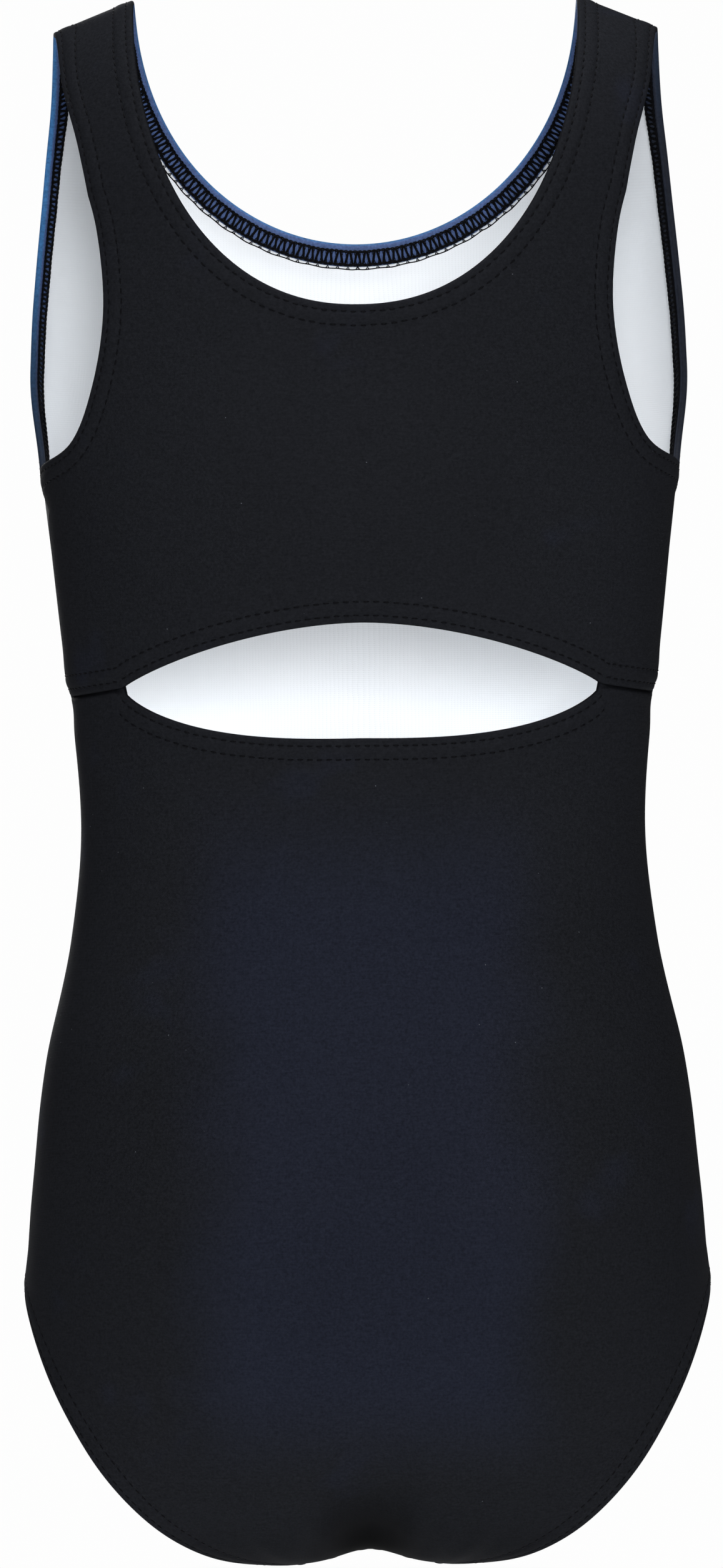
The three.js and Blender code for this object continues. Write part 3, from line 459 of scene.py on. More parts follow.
def tuck_outline(count):
    """Section of the lower back's top edge where it passes under the upper back's hem."""
    path = np.array([
        (BAND_WIDTH, CLOTH), (5.2, CLOTH), (1.2, CLOTH), (0.3, CLOTH - 0.15), (-0.15, CLOTH - 0.7),
        (-0.45, CLOTH - 1.8), (-1.1, CLOTH - 2.4), (-5.2, CLOTH - 2.42), (-5.2, -2.42), (-0.9, -2.42),
        (0.2, -2.0), (0.6, -0.9), (1.1, -0.2), (2.0, -0.02), (5.2, 0), (BAND_WIDTH, 0),
    ])
    run = np.concatenate([[0], np.cumsum(np.linalg.norm(np.diff(path, axis=0), axis=-1))])
    target = np.linspace(0, run[-1], count)
    return np.stack([np.interp(target, run, path[:, k]) for k in (0, 1)], -1)


# ------------------------------------------------------------------ meshes

class Shell:
    """Collects grids and polygons; points at one place become one vertex at the end."""

    def __init__(self):
        self.points, self.flat, self.faces, self.polygons, self.count = [], [], [], [], 0

    def _take(self, points, flat):
        first = self.count
        self.points.append(points.reshape(-1, 3))
        self.flat.append(flat.reshape(-1, 3))
        self.count += len(self.points[-1])
        return first

    def grid(self, points, flat, loop=False):
        rows, columns = points.shape[:2]
        k = np.arange(rows * columns).reshape(rows, columns) + self._take(points, flat)
        if loop:
            k = np.hstack([k, k[:, :1]])
        quads = np.stack([k[:-1, :-1], k[:-1, 1:], k[1:, 1:], k[1:, :-1]], -1)
        self.faces.append(quads.reshape(-1, 4))

    def polygon(self, points, flat):
        first = self._take(points, flat)
        self.polygons.append(list(range(first, first + len(points))))

    def mirrored(self):
        points = [p * np.array([-1, 1, 1]) for p in self.points]
        flat = [f * np.array([-1, 1, 1]) for f in self.flat]
        shift = self.count
        self.points += points
        self.flat += flat
        self.faces += [f + shift for f in self.faces]
        self.polygons += [[k + shift for k in p] for p in self.polygons]
        self.count *= 2
        return self

    def build(self, name, weld=True):
        points, flat = np.vstack(self.points), np.vstack(self.flat)
        quads = np.vstack(self.faces) if self.faces else np.zeros((0, 4), int)
        if weld:
            _, first, where = np.unique(np.round(points / 0.004).astype(np.int64), axis=0,
                                        return_index=True, return_inverse=True)
            points, flat, where = points[first], flat[first], where.ravel()
            quads = where[quads]
            polygons = [where[p] for p in self.polygons]
        else:
            polygons = self.polygons
        faces = []
        for face in [*quads.tolist(), *[list(map(int, p)) for p in polygons]]:
            kept = [v for i, v in enumerate(face) if v != face[i - 1]]
            if len(kept) > 2 and len(set(kept)) == len(kept):
                faces.append(kept)
        mesh = bpy.data.meshes.new(name)
        mesh.from_pydata((points * MM).tolist(), [], faces)
        if weld:
            work = bmesh.new()
            work.from_mesh(mesh)
            bmesh.ops.recalc_face_normals(work, faces=work.faces)
            work.to_mesh(mesh)
            work.free()
        laid = mesh.attributes.new("laid_flat", "FLOAT_VECTOR", "POINT")
        laid.data.foreach_set("vector", flat.astype(np.float32).ravel())
        mesh.polygons.foreach_set("use_smooth", [True] * len(mesh.polygons))
        mesh.update()
        piece = bpy.data.objects.new(name, mesh)
        bpy.context.scene.collection.objects.link(piece)
        return piece


def patch(inner, outer, bottom, top):
    """Coons patch between four pattern edges; rows run bottom to top, columns centre to side."""
    rows, columns = len(inner) - 1, len(bottom) - 1
    s = (1 - (1 - np.arange(columns + 1) / columns) ** 1.5)[None, :, None]
    t = (np.arange(rows + 1) / rows)[:, None, None]
    return settled(lerp(inner[:, None], outer[:, None], s) + lerp(bottom[None], top[None], t)
                   - lerp(lerp(bottom[0], bottom[-1], s), lerp(top[0], top[-1], s), t))


SETTLING_ROUNDS = 1600


def settled(grid):
    """The grid with its inner points moved over a set number of smoothing rounds, to unfold cells folded over
    another.
    """
    scale = np.array([TURN_LENGTH, 1])
    g = grid * scale
    for _ in range(SETTLING_ROUNDS):
        down, right = (g[2:, 1:-1] - g[:-2, 1:-1]) / 2, (g[1:-1, 2:] - g[1:-1, :-2]) / 2
        along, across = (down ** 2).sum(-1, keepdims=True), (right ** 2).sum(-1, keepdims=True)
        skew = (down * right).sum(-1, keepdims=True)
        corners = g[2:, 2:] - g[:-2, 2:] - g[2:, :-2] + g[:-2, :-2]
        total = along * (g[1:-1, 2:] + g[1:-1, :-2]) + across * (g[2:, 1:-1] + g[:-2, 1:-1])
        g[1:-1, 1:-1] = (total - skew * corners / 2) / (2 * (along + across))
    return g / scale


def join(first, *rest):
    return np.vstack([first, *[edge[1:] for edge in rest]])


def line_in_pattern(start, end, cells):
    return lerp(np.array(start)[None], np.array(end)[None], np.linspace(0, 1, cells + 1)[:, None])


class Cut:
    """Every edge of the cut at one fineness, shared by the panels, linings, elastics and thread."""

    def __init__(self):
        fine = 1.0
        n = lambda cells: int(cells * fine)
        self.across, self.neck, self.armhole, self.leg = n(52), n(84), n(96), n(96)
        self.back_side, self.lower_side, self.front_side = n(40), n(88), n(110)
        self.arc, self.wing = n(40), n(12)
        below_neck, middle, hips = (0.9, -210), (0.0, -180), (0.0, -400)
        self.runs = {
            "back_neck": Run(neck_edge(BACK, self.neck), BACK, below_neck, "centre", "top"),
            "front_neck": Run(neck_edge(FRONT, self.neck), FRONT, below_neck, "centre", "top"),
            "back_armhole": Run(armhole_edge(BACK, self.armhole), BACK, middle, "side", "top"),
            "front_armhole": Run(armhole_edge(FRONT, self.armhole), FRONT, middle, "side", "top"),
            "back_leg": Run(leg_edge(BACK, self.leg), BACK, hips, "top", "side"),
            "front_leg": Run(leg_edge(FRONT, self.leg), FRONT, hips, "top", "side"),
            "keyhole_upper": Run(waist_edge(True, self.arc, self.wing), BACK, middle, "centre", "side", 6.5),
            "keyhole_lower": Run(waist_edge(False, self.arc, self.wing), BACK, hips, "centre", "side", 6.5),
        }
        self.tip = {key: self.runs[key].s[self.arc] for key in ("keyhole_upper", "keyhole_lower")}

    def upper_grid(self, width):
        neck, arm, hem = (self.runs[k].inset(width) for k in ("back_neck", "back_armhole", "keyhole_upper"))
        centre = self.back_side + self.armhole - self.neck
        return patch(
            join(line_in_pattern(hem[0], neck[0], centre), neck),
            join(line_in_pattern(hem[-1], arm[0], self.back_side), arm),
            self.spread(hem), self.spread_line(neck[-1], arm[-1]))

    def spread(self, edge):
        """An edge's points, at the panel's own column count."""
        share = np.linspace(0, 1, len(edge))
        wanted = np.linspace(0, 1, self.across + 1)
        return np.stack([np.interp(wanted, share, edge[:, k]) for k in (0, 1)], -1)

    def spread_line(self, start, end):
        return line_in_pattern(start, end, self.across)

    def lower_grid(self, width):
        leg, hem = self.runs["back_leg"].inset(width), self.runs["keyhole_lower"].inset(width)
        return patch(
            join(line_in_pattern((0, -GARMENT_LENGTH), (0, SEAT_START), self.leg),
                 line_in_pattern((0, SEAT_START), hem[0], self.lower_side)),
            join(leg, line_in_pattern(leg[-1], hem[-1], self.lower_side)),
            self.spread_line((0, -GARMENT_LENGTH), leg[0]), self.spread(hem))

    def front_grid(self, width):
        leg, arm, neck = (self.runs[k].inset(width) for k in ("front_leg", "front_armhole", "front_neck"))
        centre = self.front_side + self.armhole - self.neck
        return patch(
            join(line_in_pattern((0, -GARMENT_LENGTH), (0, SEAT_START), self.leg),
                 line_in_pattern((0, SEAT_START), neck[0], centre), neck),
            join(leg, line_in_pattern(leg[-1], arm[0], self.front_side), arm),
            self.spread_line((0, -GARMENT_LENGTH), leg[0]), self.spread_line(neck[-1], arm[-1]))


def add_face(shell, pattern, side, height):
    place, normal = place_on(pattern[..., 0], pattern[..., 1], side)
    points = place + normal * height
    flat = laid_flat(pattern[..., 0], pattern[..., 1])
    shell.grid(points, flat)
    return points, flat


def add_rim(shell, top, bottom, flat):
    shell.grid(np.stack([top, bottom]), np.stack([flat, flat]))


def add_hem(shell, run, outlines, turned, cap_start, cap_end):
    """A folded hem along a run. outlines has one section of [width, height] points for each point."""
    widths, heights = outlines[..., 0], outlines[..., 1]
    s = run.s[:, None] + 0 * widths
    points, _ = run.at(s, widths, heights)
    a, q = run.pattern_at(s, widths)
    flat = laid_flat(a, q, turned[None, :] + 0 * widths)
    shell.grid(points, flat)
    for row, wanted in ((0, cap_start), (-1, cap_end)):
        if wanted:
            shell.polygon(points[row], flat[row])


def panel(name, grid, side, hems, rims, bulge, cut):
    shell = Shell()
    top, flat = add_face(shell, grid, side, CLOTH)
    bottom, _ = add_face(shell, grid, side, 0)
    for rim in rims:
        add_rim(shell, top[rim], bottom[rim], flat[rim])
    outline, turned = hem_outline(bulge)
    for key, cap_start, cap_end in hems:
        run = cut.runs[key]
        outlines = np.repeat(outline[None], len(run.s), 0)
        if key == "keyhole_lower":
            tuck = np.repeat(tuck_outline(len(outline))[None], len(run.s), 0)
            at_side = smooth_step((run.s - run.length + 9) / 7)[:, None] * smooth_step((4 - tuck[..., 0]) / 3)
            tuck[..., 1] = lerp(tuck[..., 1], CLOTH, 0.9 * at_side)
            past = smooth_step((run.s - cut.tip[key] + 1.5) / 4)[:, None, None]
            outlines = lerp(outlines, tuck, past)
        add_hem(shell, run, outlines, turned, cap_start, cap_end)
    return shell.mirrored().build(name)


def tubes(shell, centres, normals, radius, sides=5):
    """Thread along each path. centres and normals are paths x points x 3; radius may vary by point."""
    along = np.gradient(centres, axis=1)
    along = unit(along)
    across = unit(np.cross(along, normals))
    up = np.cross(across, along)
    turn = np.linspace(0, 2 * math.pi, sides, endpoint=False)
    radius = np.broadcast_to(radius, centres.shape[:2])[..., None, None]
    rings = centres[:, :, None] + radius * (
        np.cos(turn)[:, None] * across[:, :, None] + np.sin(turn)[:, None] * up[:, :, None])
    paths, steps = centres.shape[:2]
    length = np.concatenate([np.zeros((paths, 1)), np.cumsum(
        np.linalg.norm(np.diff(centres, axis=1), axis=-1), 1)], 1)
    flat = np.stack([np.broadcast_to(turn, (paths, steps, sides)),
                     np.broadcast_to(length[..., None], (paths, steps, sides)),
                     np.zeros((paths, steps, sides))], -1)
    first = shell._take(rings, flat)
    k = np.arange(paths * steps * sides).reshape(paths, steps, sides) + first
    ahead = np.roll(k, -1, 2)
    quads = np.stack([k[:, :-1], ahead[:, :-1], ahead[:, 1:], k[:, 1:]], -1)
    shell.faces.append(quads.reshape(-1, 4))
    shell.polygons += k[:, 0, ::-1].tolist() + k[:, -1].tolist()


# ------------------------------------------------------------------ thread

PITCH = 3.1
THREAD = 0.13
EVEN = np.linspace(0, 1, 6)
STITCH_DIP = 0.34     # how far a stitch's ends go down into the cloth


def needle_row(shell, run, width, start, end):
    """A row of separate stitches on the outside, each dipping into the cloth at both ends."""
    count = max(1, round((end - start) / PITCH))
    step = (end - start) / count
    s = start + (np.arange(count)[:, None] + 0.2 + 0.6 * EVEN[None]) * step
    rng = np.random.default_rng(count)
    wide = width + rng.normal(0, 0.05, (count, 1)) + 0.1 * (EVEN[None] - 0.5)
    rise = CLOTH - 0.03 - STITCH_DIP * (2 * EVEN[None] - 1) ** 4 + 0 * s
    centres, normals = run.at(s, wide, rise)
    tubes(shell, centres, normals, THREAD * 1.9, 6)


def strand(shell, run, width_of, height_of, start, end, per_pitch, radius):
    """One unbroken thread whose width and height along the run are given for a stitch count."""
    count = max(1, round((end - start) / PITCH))
    k = np.linspace(0, count, count * per_pitch + 1)
    s = start + k * (end - start) / count
    centres, normals = run.at(s, width_of(k), height_of(k))
    tubes(shell, centres[None], normals[None], radius, 5)


def sway(k, phase=0.0):
    return np.sin(2 * math.pi * (k + phase))


def triangle(k):
    """0 to 1 and back for each whole k, with soft corners."""
    return 0.5 - 0.5 * np.clip(1.25 * np.cos(2 * math.pi * k), -1, 1)


def looper_threads(shell, run, start, end):
    """The inside of a coverstitch: two chains, the threads that cross between them, and the edge loops."""
    near, far = NEEDLE_ROWS
    for width, chain in ((near, 0.27), (far, 0.3)):
        for phase in (0.0, 0.5):
            strand(shell, run, lambda k: width + 0.3 * sway(k, phase) + 0.07 * sway(k * 0.31),
                   lambda k: TURN_BOTTOM - 0.24 - 0.12 * np.cos(2 * math.pi * (k + phase)), start, end, 8, chain)
    for phase, lift, radius in ((0.0, 0.26, 2.1), (0.12, 0.36, 1.5), (0.54, 0.46, 1.0)):
        strand(shell, run, lambda k: lerp(near, far, triangle(k + phase + 0.05 * sway(k * 0.23))),
               lambda k: TURN_BOTTOM - lift + 0 * k, start, end, 8, THREAD * radius)
    for dip in (0.0, 1.0):
        peak = lambda k: np.maximum(np.cos(2 * math.pi * k), 0)
        strand(shell, run, lambda k: 7.95 - 1.2 * dip * peak(k) ** 8 + 0.12 * sway(k * 0.37),
               lambda k: -0.62 - 1.15 * dip * peak(k) ** 6, start, end, 10, THREAD * 1.6)


ALLOWANCE_THICKNESS = 0.7


def strip(name, run_points, across, inward, width, depth):
    """A narrow closed strip of cloth along a seam: points, the way across it, the way inwards."""
    shell = Shell()
    outline = [(-0.5, 0), (-0.25, 0), (0, 0), (0.25, 0), (0.5, 0), (0.52, 0.5), (0.5, 1), (0.25, 1), (0, 1),
               (-0.25, 1), (-0.5, 1), (-0.52, 0.5)]
    w = np.array([p[0] for p in outline]) * width
    h = depth + np.array([p[1] for p in outline]) * ALLOWANCE_THICKNESS
    rings = run_points[:, None] + across[:, None] * w[None, :, None] + inward[:, None] * h[None, :, None]
    length = np.concatenate([[0], np.cumsum(np.linalg.norm(np.diff(run_points, axis=0), axis=-1))])
    zero = 0 * (w[None] + length[:, None])
    flat = np.stack([w[None] + zero, length[:, None] + zero, zero], -1)
    shell.grid(rings, flat, loop=True)
    shell.polygon(rings[0], flat[0])
    shell.polygon(rings[-1], flat[-1])
    return shell.build(name)


OVERLOCK_PITCH = 2.4


def overlock(shell, points, across, inward, width, depth):
    """Overlock threads wound over a seam allowance: two edge chains and the legs between them."""
    length = np.concatenate([[0], np.cumsum(np.linalg.norm(np.diff(points, axis=0), axis=-1))])
    count = max(1, round(length[-1] / OVERLOCK_PITCH))

    def thread(w_of, h_of, per, radius):
        k = np.linspace(0, count, count * per + 1)
        s = k / count * length[-1]
        base, side, down = (np.stack([np.interp(s, length, column[:, i]) for i in range(3)], -1)
                            for column in (points, across, inward))
        centres = base + side * w_of(k)[:, None] + down * h_of(k)[:, None]
        tubes(shell, centres[None], -down[None], radius, 5)

    half = width / 2
    for sign, phase in ((1, 0.0), (-1, 0.5)):
        thread(lambda k: sign * half + 0.2 * sway(k, phase), lambda k: depth + 0.12 * np.cos(2 * math.pi * k),
               8, THREAD * 1.15)
    for phase in (0.0, 0.5):
        thread(lambda k: lerp(-half, half, triangle(k + phase)), lambda k: depth + 0.1 + 0 * k, 8, THREAD * 0.9)


# ------------------------------------------------------------------ sizes and colours a user would change

class LEOTARD_PG_sizes(bpy.types.PropertyGroup):
    hem_bulge: bpy.props.FloatProperty(
        name="Hem bulge", description="How far the elastic lifts the cloth between the needle rows",
        default=0.00026, min=0, max=0.001, unit="LENGTH", precision=5)
    floor_drop: bpy.props.FloatProperty(
        name="Floor drop", description="Height of the garment's lowest point above the studio floor",
        default=0.26, min=0, max=2, unit="LENGTH")
    viewing_distance: bpy.props.FloatProperty(
        name="Viewing distance", description="From the camera to the side seams",
        default=3.2, min=0.5, max=20, unit="LENGTH")


def colour(name, description, default):
    return bpy.props.FloatVectorProperty(
        name=name, description=description, default=default, size=3, min=0, max=1, subtype="COLOR")


class LEOTARD_PG_colours(bpy.types.PropertyGroup):
    back_cloth: colour("Back cloth", "Near-black knit of the back and seat", (0.0081, 0.0087, 0.0107))
    front_blue: colour("Front, upper", "Blue of the front at the wearer's left shoulder", (0.030, 0.105, 0.245))
    front_dark: colour("Front, lower", "Near-black that the front's blue fades to", (0.010, 0.012, 0.018))
    lining: colour("Lining", "Cool white mesh lining", (0.86, 0.89, 0.93))
    elastic: colour("Elastic", "Flat elastic inside the hems", (0.02, 0.02, 0.023))
    thread: colour("Thread", "Sewing and looper thread", (0.0014, 0.0014, 0.0021))
    floor: colour("Floor", "Studio floor and backdrop", (0.92, 0.92, 0.92))


# ------------------------------------------------------------------ finishes

class Value:
    """A shader value that ordinary arithmetic works on: each operation adds a Math node."""

    def __init__(self, finish, socket):
        self.finish, self.socket = finish, socket

    def _math(self, operation, *values):
        return self.finish.add("ShaderNodeMath", {"operation": operation}, dict(enumerate(values)))

    def __add__(self, other):
        return self._math("ADD", self, other)

    def __sub__(self, other):
        return self._math("SUBTRACT", self, other)

    def __rsub__(self, other):
        return self._math("SUBTRACT", other, self)

    def __mul__(self, other):
        return self._math("MULTIPLY", self, other)

    def __truediv__(self, other):
        return self._math("DIVIDE", self, other)

    def __pow__(self, other):
        return self._math("POWER", self, other)

    __radd__, __rmul__ = __add__, __mul__

    def wave(self):
        return self._math("SINE", self)

    def size(self):
        return self._math("ABSOLUTE", self)

    def fraction(self):
        return self._math("FRACT", self)

    def rise(self, low, high):
        """0 below low, 1 above high, smooth between."""
        return self.finish.add("ShaderNodeMapRange", {"interpolation_type": "SMOOTHSTEP", "clamp": True},
                               {"Value": self, "From Min": low, "From Max": high})


class Finish:
    """One procedural material, with its shader board."""

    def __init__(self, name, viewport_colour):
        self.material = bpy.data.materials.new(name)
        self.material.use_nodes = True
        self.material.diffuse_color = (*viewport_colour, 1)
        self.tree = self.material.node_tree
        self.tree.nodes.clear()

    def add(self, kind, settings=None, sockets=None, out=0):
        node = self.tree.nodes.new(kind)
        for key, value in (settings or {}).items():
            if key == "stops":
                self._stops(node.color_ramp, value)
            else:
                setattr(node, key, value)
        for key, value in (sockets or {}).items():
            if isinstance(value, Value):
                self.tree.links.new(value.socket, node.inputs[key])
            else:
                socket = node.inputs[key]
                socket.default_value = value[:len(socket.default_value)] if hasattr(value, "__len__") else value
        return Value(self, node.outputs[out])

    def _stops(self, ramp, stops):
        for _ in stops[2:]:
            ramp.elements.new(0.5)
        for element, (place, shade) in zip(ramp.elements, stops):
            element.position = place
            element.color = (*shade, 1)

    def split(self, vector):
        x = self.add("ShaderNodeSeparateXYZ", None, {0: vector}, 0)
        node = x.socket.node
        return x, Value(self, node.outputs[1]), Value(self, node.outputs[2])

    def laid_flat(self):
        """Across the cloth, along it, and how far it is turned inside, in millimetres of flat cloth."""
        return self.split(self.add("ShaderNodeAttribute", {"attribute_name": "laid_flat"}, None, "Vector"))

    def place(self):
        return self.add("ShaderNodeTexCoord", None, None, "Object")

    def noise(self, place, scale, detail=3.0, rough=0.5):
        return self.add("ShaderNodeTexNoise", None,
                        {"Vector": place, "Scale": scale, "Detail": detail, "Roughness": rough}, 0)

    def mix(self, factor, first, second):
        return self.add("ShaderNodeMix", {"data_type": "RGBA"}, {0: factor, 6: first, 7: second}, 2)

    def shade(self, base, amount):
        """A colour made darker or lighter by a value round 1."""
        return self.add("ShaderNodeVectorMath", {"operation": "SCALE"}, {0: base, "Scale": amount}, 0)

    def bump(self, height, distance, strength=1.0, under=None):
        sockets = {"Height": height, "Distance": distance, "Strength": strength}
        if under is not None:
            sockets["Normal"] = under
        return self.add("ShaderNodeBump", None, sockets, 0)

    def shader(self, base, roughness, normal, specular=0.3, sheen=0.0, sheen_roughness=0.5):
        return self.add("ShaderNodeBsdfPrincipled", None, {
            "Base Color": base, "Roughness": roughness, "Normal": normal, "Specular IOR Level": specular,
            "Sheen Weight": sheen, "Sheen Roughness": sheen_roughness})

    def output(self, shader):
        node = self.tree.nodes.new("ShaderNodeOutputMaterial")
        self.tree.links.new(shader.socket, node.inputs["Surface"])
        return self.material

    def surface(self, *inputs, **looks):
        return self.output(self.shader(*inputs, **looks))


def opaque(colour_value):
    return (*colour_value, 1.0)


WALE, COURSE = 0.62, 0.5      # width and height of one loop of the knit


def knit_bump(finish, across, along, place):
    """Fine columns of V-shaped loops, then the cloth's own slight unevenness."""
    column = (across * (math.pi / WALE)).wave().size()
    lean = (across / WALE).fraction() - 0.5
    loop = ((along + lean.size() * (COURSE * 0.9)) * (2 * math.pi / COURSE)).wave()
    fuzz = finish.noise(place, 900.0, 2.0)
    height = column * 0.35 + loop * 0.25 + fuzz * 0.7
    fine = finish.bump(height, 0.00006, 0.55)
    slow = finish.noise(place, 38.0, 2.0)
    return finish.bump(slow, 0.0012, 0.10, fine)


def knit_tone(finish, place):
    """How the dyed yarn's tone wanders, round 1."""
    broad = finish.noise(place, 9.0, 2.0)
    grain = finish.noise(place, 1150.0, 3.0, 0.7)
    streak = finish.noise(
        finish.add("ShaderNodeVectorMath", {"operation": "MULTIPLY"}, {0: place, 1: (260.0, 260.0, 2600.0)}, 0),
        1.0, 2.0)
    return broad * 0.5 + grain * 1.5 + streak * 0.35 - 0.175


def back_cloth_finish(colours):
    finish = Finish("black_stretch_knit", colours.back_cloth)
    across, along, turned = finish.laid_flat()
    place = finish.place()
    base = opaque(colours.back_cloth)
    # Painted light: a pool of bluish light painted on the middle of the seat, in a lighter blue of the back
    # cloth; random noise blotches elsewhere get the same blue.
    cool = tuple(c * f for c, f in zip(colours.back_cloth, (1.26, 1.36, 1.85)))
    x, _, z = finish.split(place)
    wander = (finish.noise(place, 20.0, 2.0) - 0.5) * 0.03
    seat = (1 - (x.size() + wander).rise(0.036, 0.068)) * (1 - z.rise(-0.31, -0.25)) * z.rise(-0.49, -0.45)
    blotches = finish.noise(place, 26.0, 3.0).rise(0.6, 0.72) * 0.35
    seat_lit_and_blotched = finish.mix(seat * 0.85 + blotches * (1 - seat), base, opaque(cool))
    # Painted shade: the cloth between the legs, just above the crotch, painted near-black.
    crotch_painted_shade = (1 - x.size().rise(0.002, 0.024)) * (1 - z.rise(-0.512, -0.482))
    # Painted shade: the lowest part, under the crotch, painted up to 30% darker.
    under = 1 - z.rise(-0.517, -0.499)
    # Painted shade: the hem lips and the cloth turned inside painted up to 60% darker.
    lip_painted_shade = turned.rise(0.02, 0.4)
    shadow = (1 - crotch_painted_shade * 0.93) * (1 - lip_painted_shade * 0.6)
    # The knit's own tone, darkened by the painted shades above.
    coloured = finish.shade(seat_lit_and_blotched, knit_tone(finish, place) * shadow * (1 - under * 0.3))
    lint = finish.add("ShaderNodeTexVoronoi", None, {"Vector": place, "Scale": 260.0, "Randomness": 1.0}, 0)
    specks = 1 - lint.rise(0.035, 0.06)
    sparse = finish.noise(place, 75.0, 1.0).rise(0.62, 0.68)
    flecked = finish.mix(specks * sparse * 0.5, coloured, (0.12, 0.13, 0.15, 1))
    rough = 0.68 + finish.noise(place, 30.0) * 0.1
    return finish.surface(flecked, rough, knit_bump(finish, across, along, place), specular=0.014)


INSIDE_BLUE = (0.062, 0.1, 0.23, 1)


def front_cloth_finish(colours):
    """The front's colour: blue at the wearer's left shoulder, darkest low down and towards the right."""
    finish = Finish("blue_to_black_stretch_knit", colours.front_blue)
    across, along, turned = finish.laid_flat()
    place = finish.place()
    x, _, z = finish.split(place)
    drift = finish.noise(place, 11.0, 2.0) - 0.5
    fade = (z * 8.0 + drift * 0.2 + 1.15) * (0.12 + x.rise(-0.103, -0.078) * 0.88) + x * 0.9
    deep = tuple(lerp(a, b, 0.3) for a, b in zip(colours.front_dark, colours.front_blue))
    outside = finish.add("ShaderNodeValToRGB", {"stops": [
        (0.0, colours.front_dark), (0.3, deep), (0.62, colours.front_blue),
        (1.0, tuple(min(1, c * 1.25) for c in colours.front_blue))]}, {0: fade})
    inside = finish.mix(fade.rise(0.02, 0.62), opaque(tuple(c * 2.2 for c in colours.front_dark)),
                        INSIDE_BLUE)
    coloured = finish.shade(finish.mix(turned.rise(0.6, 0.95), outside, inside), knit_tone(finish, place))
    rough = 0.58 + finish.noise(place, 30.0) * 0.1
    return finish.surface(coloured, rough, knit_bump(finish, across, along, place), specular=0.06)


def lining_finish(colours):
    """Fine mesh: threads both ways with small shaded holes between them."""
    finish = Finish("white_mesh_lining", colours.lining)
    across, along, _ = finish.laid_flat()
    place = finish.place()
    wander = finish.noise(place, 150.0, 2.0) * 0.5
    warp = ((across + wander) * (math.pi / 0.85)).wave().size()
    weft = ((along + wander) * (math.pi / 0.7)).wave().size()
    holes = (1 - warp.rise(0.05, 0.55)) * (1 - weft.rise(0.05, 0.6))
    threads = warp * 0.6 + weft * 0.4
    patches = finish.noise(place, 60.0, 3.0)
    tone = 1.03 - holes * 0.16 - patches * 0.05
    base = finish.mix(finish.noise(place, 7.0).rise(0.35, 0.7), opaque(colours.lining),
                      opaque(tuple(c * f for c, f in zip(colours.lining, (0.975, 0.99, 1.0)))))
    height = threads + finish.noise(place, 1100.0, 2.0) * 0.4
    normal = finish.bump(height, 0.00009, 0.6)
    normal = finish.bump(finish.noise(place, 26.0, 2.0), 0.002, 0.2, normal)
    return finish.surface(finish.shade(base, tone), 0.86 - threads * 0.08, normal,
                          specular=0.2, sheen=0.12, sheen_roughness=0.6)


def elastic_finish(colours):
    finish = Finish("ribbed_elastic", colours.elastic)
    across, along, _ = finish.laid_flat()
    place = finish.place()
    ribs = (across * (2 * math.pi / 0.8)).wave() * 0.5 + 0.5
    picks = (along * (2 * math.pi / 0.9)).wave() * 0.5 + 0.5
    tone = 0.7 + ribs * 0.3 + picks * 0.2 + finish.noise(place, 500.0) * 0.3
    return finish.surface(finish.shade(opaque(colours.elastic), tone), 0.72 + ribs * 0.12,
                          finish.bump(ribs + picks * 0.6, 0.00015, 0.7), specular=0.35)


def thread_finish(colours, name="spun_black_thread"):
    """Spun thread: plies that wind round it, with a little fuzz."""
    finish = Finish(name, colours.thread)
    round_it, along, _ = finish.laid_flat()
    place = finish.place()
    plies = ((along * (2 * math.pi / 0.55)) + round_it * 1.0).wave() * 0.5 + 0.5
    fuzz = finish.noise(place, 1500.0, 2.0)
    tone = 0.6 + plies * 0.7 + fuzz * 0.5
    return finish.surface(finish.shade(opaque(colours.thread), tone), 0.5 + fuzz * 0.2,
                          finish.bump(plies + fuzz * 0.4, 0.00005, 0.7), specular=0.05)


def floor_finish(colours):
    finish = Finish("pale_studio_floor", colours.floor)
    place = finish.place()
    tone = finish.noise(place, 1.4, 3.0) * 0.03 + 0.985
    grain = finish.noise(place, 90.0, 3.0)
    x, y, _ = finish.split(place)
    rim = ((x * x + y * y) ** 0.5).rise(FADE_START, FLOOR_RADIUS * 0.8)
    laid = finish.shader(finish.shade(opaque(colours.floor), tone), 0.85 + grain * 0.08,
                         finish.bump(grain, 0.0004, 0.2), specular=0.1)
    glow = finish.add("ShaderNodeEmission", None, {"Color": opaque(BACKDROP), "Strength": 1.0})
    return finish.output(finish.add("ShaderNodeMixShader", None, {0: rim, 1: laid, 2: glow}))


# ------------------------------------------------------------------ placing the pieces

def finished(piece, material, slot, *nodes):
    piece.data.materials.append(material)
    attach(piece, "root")
    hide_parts(*nodes)
    return piece


STRETCH, GUSSET_STRETCH = 1.12, 1.05      # assumed gain in area as worn


def flat_area(piece):
    """Half of both faces of the piece, in square metres."""
    return sum(p.area for p in piece.data.polygons) / 2


def declare_sheet(piece, stretch):
    """The cut area is an assumption: the modelled area over an assumed stretch."""
    flat_area(piece) / stretch


_shared = {}


def cut():
    if "cut" not in _shared:
        _shared["cut"] = Cut()
    return _shared["cut"]


def material(name, make):
    if name not in _shared:
        _shared[name] = make(bpy.context.scene.leotard_colours)
    return _shared[name]


